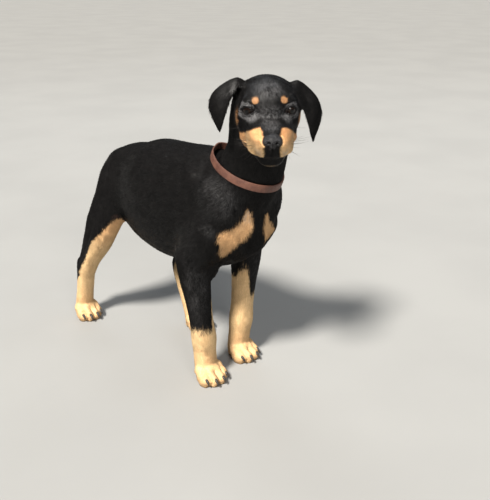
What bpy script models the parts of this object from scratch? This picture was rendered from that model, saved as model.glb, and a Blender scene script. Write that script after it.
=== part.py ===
"""A nine-week-old Doberman pinscher puppy at life size, standing with its head turned to its right.

Metres, +Z up. The chest faces -Y and the dog's own left is +X. The soles stand on z = 0.
The flesh is built of overlapping lofts and muscles, fused and smoothed, and then parted by thin cuts.
"""
import math

import bmesh
import bpy
import numpy as np
from mathutils import Matrix, Vector
from mathutils.bvhtree import BVHTree

# ---------------------------------------------------------------- driving sizes
GAP = 0.0003              # clearance kept between touching nodes
WITHERS = 0.335           # height of the back over the shoulders
BODY_VOXEL = 0.0034       # grid on which the trunk and legs are fused
HEAD_VOXEL = 0.0016       # grid for the head
PAW_VOXEL = 0.0014        # grid for the paws
BODY_TRIANGLES = 3900     # of the trunk and legs before they are parted
HEAD_TRIANGLES = 3300
PAW_TRIANGLES = 450
EAR_THICKNESS = 0.0030
EYE_RADIUS = 0.0086
EYE_APART = 0.0460        # between the eyeball centres
STRAP_WIDTH = 0.0105
STRAP_THICKNESS = 0.0024
SIDES = (("right", -1), ("left", 1))

HEAD_PLACE = (-0.0345, 0.197, 0.411)      # between the eyes: left, ahead, up
HEAD_TURN = (12.0, 0.0, -41.0)           # degrees: nose down, roll, turned to its right

# left (mirrored for the right side), ahead, up
FORE_JOINTS = {
    "right": {"shoulder": (0.050, 0.104, 0.236), "elbow": (0.052, 0.068, 0.184),
              "wrist": (0.047, 0.083, 0.066), "foot": (0.047, 0.086)},
    "left": {"shoulder": (0.051, 0.104, 0.236), "elbow": (0.056, 0.066, 0.182),
             "wrist": (0.037, 0.073, 0.064), "foot": (0.032, 0.071)},
}
HIND_JOINTS = {
    "right": {"hip": (0.032, -0.133, 0.262), "stifle": (0.056, -0.142, 0.176),
              "hock": (0.063, -0.204, 0.090), "foot": (0.066, -0.216)},
    "left": {"hip": (0.034, -0.134, 0.262), "stifle": (0.056, -0.070, 0.174),
             "hock": (0.050, -0.086, 0.092), "foot": (0.043, -0.048)},
}


def at(left, ahead, up):
    """A point from its distances to the dog's left, ahead of it and up."""
    return Vector((left, -ahead, up))


# ---------------------------------------------------------------- scene helpers
def clear_scene():
    for obj in list(bpy.data.objects):
        bpy.data.objects.remove(obj)
    for name in ("puppy", "helpers"):
        bpy.context.scene.collection.children.link(bpy.data.collections.new(name))


def put(name, mesh, collection="helpers"):
    """Links a mesh as an object. Helpers are hidden from the render."""
    obj = bpy.data.objects.new(name, mesh)
    bpy.data.collections[collection].objects.link(obj)
    if collection == "helpers":
        obj.hide_render = True
        obj.display_type = "WIRE"
    return obj


def from_bmesh(name, bm):
    bmesh.ops.recalc_face_normals(bm, faces=bm.faces)
    mesh = bpy.data.meshes.new(name)
    bm.to_mesh(mesh)
    bm.free()
    return put(name, mesh)


def applied(obj):
    """Bakes the modifiers into the object's mesh."""
    bpy.context.view_layer.update()
    seen = obj.evaluated_get(bpy.context.evaluated_depsgraph_get())
    mesh = bpy.data.meshes.new_from_object(seen)
    obj.modifiers.clear()
    obj.data = mesh
    return obj


def triangulated(obj):
    bm = bmesh.new()
    bm.from_mesh(obj.data)
    bmesh.ops.triangulate(bm, faces=bm.faces)
    bm.to_mesh(obj.data)
    bm.free()
    return obj


def largest_piece(obj):
    """Keeps the biggest closed surface of a mesh and drops loose scraps."""
    bm = bmesh.new()
    bm.from_mesh(obj.data)
    bmesh.ops.remove_doubles(bm, verts=bm.verts, dist=1e-6)
    left = set(bm.faces)
    pieces = []
    while left:
        stack = [left.pop()]
        piece = list(stack)
        while stack:
            for edge in stack.pop().edges:
                for face in edge.link_faces:
                    if face in left:
                        left.remove(face)
                        stack.append(face)
                        piece.append(face)
        pieces.append(piece)
    pieces.sort(key=lambda piece: sum(face.calc_area() for face in piece))
    for piece in pieces[:-1]:
        bmesh.ops.delete(bm, geom=piece, context="FACES")
    bm.to_mesh(obj.data)
    bm.free()
    return obj


def boolean(obj, other, operation, solver="EXACT"):
    modifier = obj.modifiers.new(operation.lower(), "BOOLEAN")
    modifier.operation = operation
    modifier.solver = solver
    modifier.object = other
    return largest_piece(applied(obj))


def copy_of(obj, name):
    return put(name, obj.data.copy())


def drop(*objects):
    for obj in objects:
        bpy.data.objects.remove(obj)


def swollen(obj, by=GAP):
    """A copy whose surface stands off by the gap, to cut what touches it."""
    grown = copy_of(obj, obj.name + "_swollen")
    mesh = grown.data
    places = np.empty(len(mesh.vertices) * 3)
    normals = np.empty(len(mesh.vertices) * 3)
    mesh.vertices.foreach_get("co", places)
    mesh.vertices.foreach_get("normal", normals)
    mesh.vertices.foreach_set("co", places + normals * by)
    mesh.update()
    return grown


def trimmed(obj, *neighbours):
    """Cuts a node back from its neighbours, leaving the gap between them.

    A swollen copy may cross itself in a narrow slit, where only MANIFOLD still cuts.
    """
    for neighbour in neighbours:
        grown = swollen(neighbour)
        boolean(obj, grown, "DIFFERENCE", "MANIFOLD")
        drop(grown)
    return obj


# ---------------------------------------------------------------- shape helpers
def through(stations, per_span):
    """A Catmull-Rom curve through rows of numbers, with per_span steps between them."""
    rows = np.array(stations, float)
    padded = np.vstack([2 * rows[0] - rows[1], rows, 2 * rows[-1] - rows[-2]])
    made = []
    for i in range(1, len(rows)):
        before, start, end, after = padded[i - 1:i + 3]
        for t in np.arange(per_span) / per_span:
            made.append(0.5 * (2 * start + (end - before) * t
                               + (2 * before - 5 * start + 4 * end - after) * t ** 2
                               + (3 * start - before - 3 * end + after) * t ** 3))
    made.append(rows[-1])
    return np.array(made)


def loft(name, stations, ends=(0.01, 0.01), across=(1, 0, 0), per_span=4, sides=28,
         square=2.0, caps=(78, 55, 28)):
    """A closed tube through stations of (left, ahead, up, half width, upper half, lower half).

    square is the superellipse's power, ends how far each rounded end reaches past its last
    station and caps the angles at which the rings of an end lie.
    """
    rows = through(stations, per_span)
    centres = rows[:, :3] * (1, -1, 1)
    tangents = np.gradient(centres, axis=0)
    rings = []
    last = len(rows) - 1
    caps = [math.radians(a) for a in caps]
    plan = [(0, a, -ends[0]) for a in caps] + [(i, 0.0, 0.0) for i in range(last + 1)]
    plan += [(last, a, ends[1]) for a in reversed(caps)]
    angles = np.linspace(0, 2 * math.pi, sides, endpoint=False)
    for i, turn, reach in plan:
        along = Vector(tangents[i]).normalized()
        side = Vector(across)
        side = (side - along * side.dot(along)).normalized()
        upward = side.cross(along).normalized()
        if not rings:
            face = -1 if upward.z < -0.2 or (abs(upward.z) <= 0.2 and upward.y > 0) else 1
        upward *= face
        centre = Vector(centres[i]) + along * (reach * math.sin(turn))
        width, top, bottom = rows[i, 3:6] * math.cos(turn)
        ring = []
        for a in angles:
            c, s = math.cos(a), math.sin(a)
            out = width * math.copysign(abs(c) ** (2 / square), c)
            lift = (top if s > 0 else bottom) * math.copysign(abs(s) ** (2 / square), s)
            ring.append(centre + side * out + upward * lift)
        rings.append(ring)
    return skin_over(name, rings)


def skin_over(name, rings, closed=False):
    """Quads between rings of points. An open run gets a face at each end."""
    bm = bmesh.new()
    verts = [[bm.verts.new(point) for point in ring] for ring in rings]
    count = len(verts[0])
    pairs = list(zip(verts, verts[1:] + verts[:1])) if closed else list(zip(verts, verts[1:]))
    for first, second in pairs:
        for i in range(count):
            j = (i + 1) % count
            bm.faces.new((first[i], first[j], second[j], second[i]))
    if not closed:
        bm.faces.new(verts[0])
        bm.faces.new(verts[-1])
    return from_bmesh(name, bm)


def ellipsoid(name, centre, radii, turn=(0, 0, 0), rings=14):
    """An ellipsoid of three half sizes (across, fore and aft, up), turned by degrees."""
    bm = bmesh.new()
    bmesh.ops.create_uvsphere(bm, u_segments=2 * rings, v_segments=rings, radius=1.0)
    place = Matrix.Translation(at(*centre))
    for angle, axis in zip(turn, "XYZ"):
        place = place @ Matrix.Rotation(math.radians(angle), 4, axis)
    bmesh.ops.transform(bm, matrix=place @ Matrix.Diagonal((*radii, 1.0)), verts=bm.verts)
    return from_bmesh(name, bm)


def block(name, centre, size, turn=(0, 0, 0)):
    """A box of full sizes, used to part and to trim."""
    bm = bmesh.new()
    bmesh.ops.create_cube(bm, size=1.0)
    place = Matrix.Translation(at(*centre))
    for angle, axis in zip(turn, "XYZ"):
        place = place @ Matrix.Rotation(math.radians(angle), 4, axis)
    bmesh.ops.transform(bm, matrix=place @ Matrix.Diagonal((*size, 1.0)), verts=bm.verts)
    return from_bmesh(name, bm)


def moved(obj, matrix):
    obj.data.transform(matrix)
    return obj


def fused(name, pieces, voxel, smoothing, triangles):
    """Joins overlapping closed meshes on a voxel grid, relaxes the creases and thins it."""
    bm = bmesh.new()
    for piece in pieces:
        bm.from_mesh(piece.data)
    obj = from_bmesh(name, bm)
    drop(*pieces)
    remesh = obj.modifiers.new("fuse", "REMESH")
    remesh.mode = "VOXEL"
    remesh.voxel_size = voxel
    relax = obj.modifiers.new("relax", "SMOOTH")
    relax.factor = 0.5
    relax.iterations = smoothing
    applied(obj)
    largest_piece(triangulated(obj))
    thin = obj.modifiers.new("thin", "DECIMATE")
    thin.ratio = min(1.0, triangles / len(obj.data.polygons))
    return largest_piece(applied(obj))


# ---------------------------------------------------------------- trunk
TRUNK = (  # ahead, top, middle, bottom, half width
    (0.143, 0.268, 0.243, 0.218, 0.024),
    (0.130, 0.292, 0.243, 0.196, 0.042),
    (0.108, 0.314, 0.243, 0.176, 0.053),
    (0.080, 0.328, 0.244, 0.165, 0.058),
    (0.048, WITHERS, 0.245, 0.158, 0.062),
    (0.010, 0.331, 0.243, 0.154, 0.067),
    (-0.030, 0.329, 0.240, 0.153, 0.070),
    (-0.065, 0.329, 0.238, 0.161, 0.067),
    (-0.098, 0.325, 0.243, 0.180, 0.058),
    (-0.126, 0.314, 0.250, 0.200, 0.049),
    (-0.148, 0.297, 0.248, 0.206, 0.040),
    (-0.166, 0.276, 0.243, 0.214, 0.030),
)
NECK = (  # left, ahead, up, half width, back half and front half
    (0.001, 0.062, 0.262, 0.054, 0.054, 0.058),
    (0.003, 0.098, 0.288, 0.050, 0.048, 0.055),
    (0.004, 0.126, 0.318, 0.0445, 0.0415, 0.0465),
    (0.001, 0.143, 0.348, 0.0405, 0.0395, 0.0405),
    (-0.004, 0.152, 0.374, 0.0395, 0.0400, 0.0380),
    (-0.010, 0.156, 0.398, 0.0368, 0.0374, 0.0350),
    (-0.017, 0.161, 0.418, 0.0270, 0.0270, 0.0260),
)
TAIL = (  # left, ahead, up, half width, upper and lower half
    (0, -0.150, 0.272, 0.0135, 0.0125, 0.0125),
    (0, -0.174, 0.262, 0.0110, 0.0100, 0.0100),
    (0, -0.189, 0.243, 0.0094, 0.0086, 0.0086),
    (0, -0.196, 0.219, 0.0078, 0.0072, 0.0072),
)


def neck_form():
    return loft("throat", NECK, ends=(0.02, 0.008), sides=32)


def trunk_forms():
    """Barrel, breast, shoulder blades, rump, upper arms and thighs."""
    stations = [(0, ahead, middle, width, top - middle, middle - bottom)
                for ahead, top, middle, bottom, width in TRUNK]
    forms = [loft("ribs", stations, ends=(0.006, 0.012), sides=36, square=2.15)]
    forms.append(ellipsoid("breast", (0, 0.122, 0.238), (0.040, 0.028, 0.048)))
    forms.append(neck_form())
    forms.append(ellipsoid("neck_side", (0.042, 0.117, 0.270), (0.024, 0.027, 0.044)))
    for tag, sign in SIDES:
        fore, hind = FORE_JOINTS[tag], HIND_JOINTS[tag]
        shoulder, elbow = fore["shoulder"], fore["elbow"]
        hip, stifle = hind["hip"], hind["stifle"]
        forms.append(ellipsoid("blade_" + tag, (sign * 0.034, 0.074, 0.264),
                               (0.022, 0.036, 0.056), (-24, sign * 10, 0)))
        forms.append(ellipsoid("neck_base_" + tag, (sign * 0.035, 0.108, 0.274),
                               (0.026, 0.032, 0.042), (-30, 0, 0)))
        forms.append(loft("arm_" + tag, [
            station(sign, shoulder, 0.0220, 0.026, 0.030),
            station(sign, between(shoulder, elbow, 0.55), 0.0225, 0.028, 0.030),
            station(sign, elbow, 0.0215, 0.024, 0.026)], ends=(0.016, 0.012), sides=24))
        forms.append(ellipsoid("triceps_" + tag, (sign * 0.048, elbow[1] + 0.004, 0.214),
                               (0.0195, 0.030, 0.034), (-20, 0, 0)))
        forms.append(ellipsoid("rump_" + tag, (sign * 0.024, -0.128, 0.264),
                               (0.027, 0.042, 0.044), (20, 0, 0)))
        forms.append(loft("thigh_" + tag, [
            station(sign, (hip[0], hip[1], hip[2] + 0.004), 0.023, 0.038, 0.038),
            station(sign, between(hip, stifle, 0.35), 0.0245, 0.039, 0.039),
            station(sign, between(hip, stifle, 0.72), 0.0230, 0.029, 0.033),
            station(sign, stifle, 0.0195, 0.0210, 0.0225)], ends=(0.016, 0.012), sides=28))
        seat, gaskin = (0.026, -0.146, 0.250), (stifle[0], stifle[1] - 0.026, stifle[2] + 0.010)
        forms.append(loft("hamstring_" + tag, [
            station(sign, seat, 0.0210, 0.024, 0.022),
            station(sign, between(seat, gaskin, 0.5), 0.0215, 0.026, 0.023),
            station(sign, gaskin, 0.0165, 0.019, 0.017)], ends=(0.014, 0.010), sides=24))
    return forms


# ---------------------------------------------------------------- legs
def between(a, b, share):
    return tuple(p + (q - p) * share for p, q in zip(a, b))


def station(sign, place, width, front, back):
    return (sign * place[0], place[1], place[2], width, front, back)


def wrist_run(tag, sign):
    """Stations of the foreleg from the wrist down, shared by the leg and its paw."""
    wrist = FORE_JOINTS[tag]["wrist"]
    palm = (*FORE_JOINTS[tag]["foot"], 0.020)
    return [station(sign, wrist, 0.0188, 0.0190, 0.0195),
            station(sign, between(wrist, palm, 0.45), 0.0172, 0.0165, 0.0170),
            station(sign, palm, 0.0180, 0.0160, 0.0150)]


def fore_forms(tag, sign):
    j = FORE_JOINTS[tag]
    elbow, wrist = j["elbow"], j["wrist"]
    forearm = [station(sign, (elbow[0], elbow[1], elbow[2] + 0.012), 0.0240, 0.026, 0.029),
               station(sign, between(elbow, wrist, 0.20), 0.0222, 0.0240, 0.0250),
               station(sign, between(elbow, wrist, 0.48), 0.0190, 0.0196, 0.0200),
               station(sign, between(elbow, wrist, 0.78), 0.0172, 0.0174, 0.0178)]
    forms = [loft("forearm_" + tag, forearm + wrist_run(tag, sign), ends=(0.012, 0.004), sides=24)]
    forms.append(ellipsoid("point_of_elbow_" + tag, (sign * (elbow[0] + 0.001), elbow[1] - 0.022,
                                                     elbow[2] + 0.008), (0.0110, 0.0100, 0.0130)))
    if tag == "right":
        forms.append(ellipsoid("forearm_muscle", (-0.036, 0.084, 0.182), (0.0150, 0.0180, 0.0270)))
    forms.append(ellipsoid("carpal_pad_" + tag, (sign * wrist[0], wrist[1] - 0.014, wrist[2] - 0.006),
                           (0.0085, 0.0075, 0.0085)))
    return forms


def hock_run(tag, sign):
    """Stations of the hind leg from the hock down, shared by the leg and its paw."""
    hock = HIND_JOINTS[tag]["hock"]
    palm = (*HIND_JOINTS[tag]["foot"], 0.020)
    return [station(sign, (hock[0], hock[1], hock[2] + 0.004), 0.0150, 0.0160, 0.0185),
            station(sign, between(hock, palm, 0.35), 0.0146, 0.0150, 0.0160),
            station(sign, between(hock, palm, 0.70), 0.0146, 0.0142, 0.0148),
            station(sign, palm, 0.0160, 0.0150, 0.0140)]


def hind_forms(tag, sign):
    j = HIND_JOINTS[tag]
    hip, stifle, hock = j["hip"], j["stifle"], j["hock"]
    shank = [station(sign, (stifle[0], stifle[1] + 0.002, stifle[2] + 0.010), 0.0190, 0.0210, 0.0240),
             station(sign, between(stifle, hock, 0.30), 0.0168, 0.0188, 0.0210),
             station(sign, between(stifle, hock, 0.68), 0.0135, 0.0150, 0.0165),
             station(sign, hock, 0.0150, 0.0165, 0.0180)]
    forms = [loft("shank_" + tag, shank, ends=(0.010, 0.008), sides=24),
             loft("pastern_" + tag, hock_run(tag, sign), ends=(0.008, 0.004), sides=24)]
    forms.append(ellipsoid("kneecap_" + tag, (sign * stifle[0], stifle[1] + 0.008, stifle[2] + 0.002),
                           (0.0150, 0.0140, 0.0180)))
    heel = (hock[0], hock[1] - 0.0130, hock[2] + 0.0085)
    forms.append(ellipsoid("heel_" + tag, (sign * heel[0], heel[1], heel[2]),
                           (0.0092, 0.0088, 0.0120)))
    thigh_back = (stifle[0] - 0.002, stifle[1] - 0.030, stifle[2] + 0.014)
    forms.append(loft("tendon_" + tag, [
        station(sign, thigh_back, 0.0150, 0.0170, 0.0170),
        station(sign, between(thigh_back, heel, 0.45), 0.0100, 0.0130, 0.0115),
        station(sign, between(thigh_back, heel, 0.80), 0.0062, 0.0090, 0.0072),
        station(sign, heel, 0.0065, 0.0075, 0.0070)], ends=(0.015, 0.004), sides=20))
    return forms


def body():
    trunk = fused("trunk", trunk_forms(), BODY_VOXEL, 28, 30000)
    forms = [trunk, neck_form(), loft("dock", TAIL, ends=(0.008, 0.007), sides=20)]
    for tag, sign in SIDES:
        forms += fore_forms(tag, sign) + hind_forms(tag, sign)
    return fused("body", forms, BODY_VOXEL * 0.75, 5, BODY_TRIANGLES)


# ---------------------------------------------------------------- paws
TOES = (  # across, ahead of the palm
    (-0.0168, 0.0125), (-0.0064, 0.0205), (0.0064, 0.0205), (0.0168, 0.0125))


def paw_place(sign, foot, out_turn):
    """The paw's own frame: toes ahead, turned a little outward."""
    return Matrix.Translation(at(sign * foot[0], foot[1], 0)) @ Matrix.Rotation(
        math.radians(sign * out_turn), 4, "Z")


def paw(name, run, place, narrow):
    """Four toes with knuckles, palm and pads, flat underneath."""
    forms = [ellipsoid("palm", (0, 0.003, 0.0165), (0.0190 * narrow, 0.0190, 0.0155)),
             ellipsoid("pad", (0, -0.0070, 0.0055), (0.0130 * narrow, 0.0100, 0.0070))]
    for across, ahead in TOES:
        x = across * narrow
        lean = across * 180
        forms.append(ellipsoid("toe", (x, ahead + 0.0020, 0.0098), (0.0076 * narrow, 0.0140, 0.0102),
                               (14, 0, lean)))
        forms.append(ellipsoid("knuckle", (x * 0.97, ahead - 0.0060, 0.0180),
                               (0.0073 * narrow, 0.0110, 0.0078), (24, 0, lean)))
    for form in forms:
        moved(form, place)
    forms.append(loft("run", run, ends=(0.006, 0.004), sides=24))
    obj = fused(name, forms, PAW_VOXEL, 3, PAW_TRIANGLES)
    floor = block("floor", (0, 0, -0.05), (2, 2, 0.1))
    boolean(obj, floor, "DIFFERENCE")
    drop(floor)
    return obj


def claws(name, place, narrow):
    """Short blunt claws, curving down from the ends of the toes."""
    made = []
    for i, (across, ahead) in enumerate(TOES):
        x = across * narrow
        points = [(0.0090, 0.0130, 0.0025), (0.0138, 0.0116, 0.0023),
                  (0.0170, 0.0090, 0.0017), (0.0184, 0.0066, 0.0009)]
        spread = math.sin(math.radians(across * 180))
        stations = [(x + spread * step, ahead + step, up, r * 0.8, r, r) for step, up, r in points]
        claw = loft(f"{name}_{i + 1}", stations, ends=(0.001, 0.0005), per_span=1, sides=7, caps=(55,))
        made.append(moved(claw, place))
    return made


# ---------------------------------------------------------------- head
def head_matrix():
    nose_down, roll, turn = (math.radians(a) for a in HEAD_TURN)
    return (Matrix.Translation(at(*HEAD_PLACE)) @ Matrix.Rotation(turn, 4, "Z")
            @ Matrix.Rotation(nose_down, 4, "X") @ Matrix.Rotation(roll, 4, "Y"))


MUZZLE = (  # across, forward, up, half width, upper half, lower half
    (0, -0.012, -0.0140, 0.0315, 0.0205, 0.0270),
    (0, 0.010, -0.0185, 0.0296, 0.0168, 0.0250),
    (0, 0.028, -0.0200, 0.0272, 0.0152, 0.0225),
    (0, 0.045, -0.0205, 0.0240, 0.0146, 0.0202),
    (0, 0.057, -0.0212, 0.0194, 0.0132, 0.0176),
)
JAW = (
    (0, -0.026, -0.0360, 0.0260, 0.0130, 0.0160),
    (0, 0.008, -0.0420, 0.0225, 0.0110, 0.0130),
    (0, 0.030, -0.0430, 0.0192, 0.0095, 0.0110),
    (0, 0.048, -0.0425, 0.0146, 0.0080, 0.0096),
)
NECK_PLANE = ((-0.004, 0.150, 0.368), (0.0, 0.40, 0.92))     # between the head and the neck
CHEST_PLANE = ((0.0, 0.100, 0.292), (0.0, 0.75, 0.66))       # between the neck and the torso
COLLAR_CENTRE = (0.0030, 0.1245, 0.3155)
COLLAR_AXIS = (0.095, 0.340, 0.935)
BUCKLE_AT = 106           # degrees from the throat round to the left

# rows of a drop ear from its root to its tip: front edge, crease, rear edge (out, ahead, up)
EARS = {
    "right": (
        ((0.0240, -0.020, 0.0150), (0.0250, -0.036, 0.0175), (0.0260, -0.052, 0.0100)),
        ((0.0330, -0.019, 0.0205), (0.0350, -0.034, 0.0240), (0.0365, -0.052, 0.0170)),
        ((0.0385, -0.015, 0.0160), (0.0470, -0.033, 0.0185), (0.0515, -0.053, 0.0110)),
        ((0.0425, -0.012, 0.0085), (0.0575, -0.028, 0.0100), (0.0655, -0.047, 0.0025)),
        ((0.0465, -0.010, -0.0025), (0.0615, -0.021, -0.0010), (0.0705, -0.040, -0.0085)),
        ((0.0505, -0.010, -0.0155), (0.0610, -0.016, -0.0145), (0.0680, -0.029, -0.0205)),
        ((0.0560, -0.013, -0.0330), (0.0580, -0.014, -0.0355), (0.0605, -0.018, -0.0330))),
    "left": (
        ((0.0240, -0.020, 0.0110), (0.0250, -0.036, 0.0145), (0.0260, -0.052, 0.0070)),
        ((0.0315, -0.019, 0.0155), (0.0355, -0.034, 0.0200), (0.0370, -0.052, 0.0130)),
        ((0.0355, -0.015, 0.0085), (0.0450, -0.033, 0.0140), (0.0495, -0.053, 0.0060)),
        ((0.0392, -0.012, -0.0020), (0.0545, -0.028, 0.0035), (0.0625, -0.047, -0.0055)),
        ((0.0430, -0.010, -0.0145), (0.0590, -0.022, -0.0095), (0.0680, -0.041, -0.0180)),
        ((0.0475, -0.010, -0.0265), (0.0590, -0.017, -0.0235), (0.0665, -0.031, -0.0310)),
        ((0.0540, -0.013, -0.0465), (0.0562, -0.014, -0.0500), (0.0585, -0.018, -0.0465))),
}


def head_forms():
    forms = [ellipsoid("cranium", (0, -0.028, 0.0005), (0.0375, 0.046, 0.0278)),
             ellipsoid("nape", (-0.0055, -0.046, -0.0160), (0.0385, 0.034, 0.0345)),
             loft("muzzle", MUZZLE, ends=(0.01, 0.0075), sides=32, square=2.5),
             loft("jaw", JAW, ends=(0.01, 0.005), sides=28),
             ellipsoid("forehead", (0, -0.006, 0.008), (0.026, 0.018, 0.018)),
             ellipsoid("throat", (0, -0.034, -0.026), (0.030, 0.032, 0.024)),
             ellipsoid("gullet", (0, -0.018, -0.0395), (0.0315, 0.034, 0.0175))]
    for tag, sign in SIDES:
        forms.append(ellipsoid("cheek_" + tag, (sign * 0.0223, -0.020, -0.015),
                               (0.0180, 0.032, 0.025)))
        forms.append(ellipsoid("cheekbone_" + tag, (sign * 0.0268, -0.020, -0.004),
                               (0.0128, 0.020, 0.0110)))
        forms.append(ellipsoid("ear_base_" + tag, (sign * 0.0310, -0.037, 0.0055),
                               (0.0125, 0.015, 0.0125)))
        forms.append(ellipsoid("brow_" + tag, (sign * 0.0185, -0.002, 0.0095),
                               (0.0150, 0.0120, 0.0085), (0, sign * 10, 0)))
        forms.append(ellipsoid("lids_" + tag, (sign * EYE_APART / 2, 0.0005, 0.0),
                               (0.0116, 0.0106, 0.0102)))
        forms.append(ellipsoid("flew_" + tag, (sign * 0.0160, 0.029, -0.0300),
                               (0.0115, 0.0260, 0.0130)))
        forms.append(ellipsoid("lip_corner_" + tag, (sign * 0.0195, -0.001, -0.0325),
                               (0.0155, 0.0260, 0.0165)))
    return forms


def head(place):
    forms = head_forms()
    for form in forms:
        moved(form, place)
    forms.append(neck_form())
    return fused("head", forms, HEAD_VOXEL, 7, HEAD_TRIANGLES)


def nose(place):
    """The leathery pad with its wings, nostrils and the groove between them."""
    forms = [ellipsoid("pad", (0, 0.0590, -0.0132), (0.0093, 0.0080, 0.0069)),
             ellipsoid("lower", (0, 0.0588, -0.0184), (0.0054, 0.0074, 0.0054))]
    for tag, sign in SIDES:
        forms.append(ellipsoid("wing_" + tag, (sign * 0.0066, 0.0580, -0.0148),
                               (0.0050, 0.0076, 0.0058)))
    obj = fused("nose", forms, 0.0008, 3, 300)
    for tag, sign in SIDES:
        pit = ellipsoid("nostril", (sign * 0.0052, 0.0660, -0.0138), (0.0019, 0.0036, 0.0017),
                        rings=5)
        slit = ellipsoid("slit", (sign * 0.0087, 0.0650, -0.0160), (0.0032, 0.0050, 0.0007),
                         (0, sign * 38, 0), rings=5)
        boolean(obj, pit, "DIFFERENCE")
        boolean(obj, slit, "DIFFERENCE")
        drop(pit, slit)
    groove = block("philtrum", (0, 0.0685, -0.0177), (0.0008, 0.0036, 0.0090))
    boolean(obj, groove, "DIFFERENCE")
    drop(groove)
    return moved(obj, place)


def mouth_cutter(skull, place):
    """A thin ribbon that follows the surface and scores the line between the lips."""
    tree = BVHTree.FromPolygons([v.co for v in skull.data.vertices],
                                [p.vertices[:] for p in skull.data.polygons])
    rings = []
    for step in np.linspace(-1, 1, 57):
        turn = step * math.radians(113)
        drop_back = abs(step)
        up = -0.0352 - 0.0012 * drop_back ** 2 + 0.0018 * math.exp(-(step / 0.10) ** 2)
        start = place @ at(0, 0.014, up)
        way = place.to_3x3() @ at(math.sin(turn), math.cos(turn), 0)
        hit = tree.ray_cast(start + way * 0.08, -way)[0]
        upward = place.to_3x3() @ Vector((0, 0, 1))
        depth = 0.0024 * (1 - 0.75 * drop_back ** 6)
        half = 0.00045
        rings.append([hit - way * depth - upward * half, hit + way * 0.004 - upward * half,
                      hit + way * 0.004 + upward * half, hit - way * depth + upward * half])
    return skin_over("mouth_line", rings)


def eye_parts(tag, sign, place):
    """The eyeball, its socket and the almond opening between the lids."""
    centre = (sign * EYE_APART / 2, 0.0010, 0.0)
    ball = ellipsoid("eye_" + tag, centre, (EYE_RADIUS,) * 3, rings=9)
    socket = ellipsoid("socket", centre, (EYE_RADIUS + GAP,) * 3, rings=9)
    outward = math.radians(20 * sign)
    rings = []
    for reach in (0.003, 0.016):
        ring = []
        for a in np.linspace(0, 2 * math.pi, 24, endpoint=False):
            x = 0.0067 * math.cos(a)
            z = (0.0047 if a < math.pi else 0.0040) * abs(math.sin(a)) ** 0.85
            z = math.copysign(z, math.sin(a)) + 0.0006 * sign * math.cos(a)
            grow = 1 + (reach - 0.008) * 16
            ring.append(at(centre[0] + math.cos(outward) * x * grow + math.sin(outward) * reach,
                           centre[1] - math.sin(outward) * x * grow + math.cos(outward) * reach,
                           centre[2] + z * grow))
        rings.append(ring)
    opening = skin_over("opening", rings)
    for obj in (ball, socket, opening):
        moved(obj, place)
    return ball, socket, opening


def ear(tag, sign, place):
    """A soft folded leaf of even thickness with rounded edges, rooted inside the skull."""
    rows = np.array(EARS[tag])
    along = through(rows.reshape(len(rows), 9), 2).reshape(-1, 3, 3)
    sheet = np.array([through(row, 3) for row in along])
    sheet[..., 0] *= sign
    sheet[..., 1] *= -1
    du = np.gradient(sheet, axis=0)
    dv = np.gradient(sheet, axis=1)
    normal = np.cross(du, dv)
    normal /= np.linalg.norm(normal, axis=2, keepdims=True)
    outside = np.sign((normal * (sheet - (0, 0.03, -0.01))).sum())
    across = np.abs(np.linspace(-1, 1, sheet.shape[1]))
    down = np.linspace(0, 1, sheet.shape[0])[:, None]
    body_part = np.sqrt(np.clip(1 - across ** 4, 0.03, 1))[None] * np.sqrt(np.clip(1 - down ** 12, 0.05, 1))
    half = 0.5 * EAR_THICKNESS * (1.25 - 0.45 * down) * body_part
    outer = sheet + normal * outside * half[..., None]
    inner = sheet - normal * outside * half[..., None]
    rings = [[Vector(p) for p in outer[i]] + [Vector(p) for p in inner[i][::-1]]
             for i in range(len(sheet))]
    return moved(skin_over("ear_" + tag, rings), place)


def concha(sign, place):
    """The hollow under the flap where the ear opens into the head."""
    hollow = ellipsoid("concha", (sign * 0.0395, -0.0265, 0.0050), (0.0048, 0.0070, 0.0080), rings=6)
    return moved(hollow, place)


# ---------------------------------------------------------------- collar
def ring_frame():
    """Axes of the collar: through the ring, to the dog's left, and to the throat."""
    axis = at(*COLLAR_AXIS).normalized()
    side = (Vector((1, 0, 0)) - axis * axis.x).normalized()
    throat = side.cross(axis).normalized()
    if throat.y > 0:
        throat = -throat
    return at(*COLLAR_CENTRE), axis, side, throat


def collar_radius(tree, centre, axis, way):
    """The largest distance of the neck under the strap in one direction."""
    reach = 0.0
    for rise in np.linspace(-0.5, 0.5, 5):
        start = centre + axis * (rise * STRAP_WIDTH) + way * 0.09
        hit = tree.ray_cast(start, -way)[0]
        reach = max(reach, (hit - centre - axis * (rise * STRAP_WIDTH)).length)
    return reach


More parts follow.
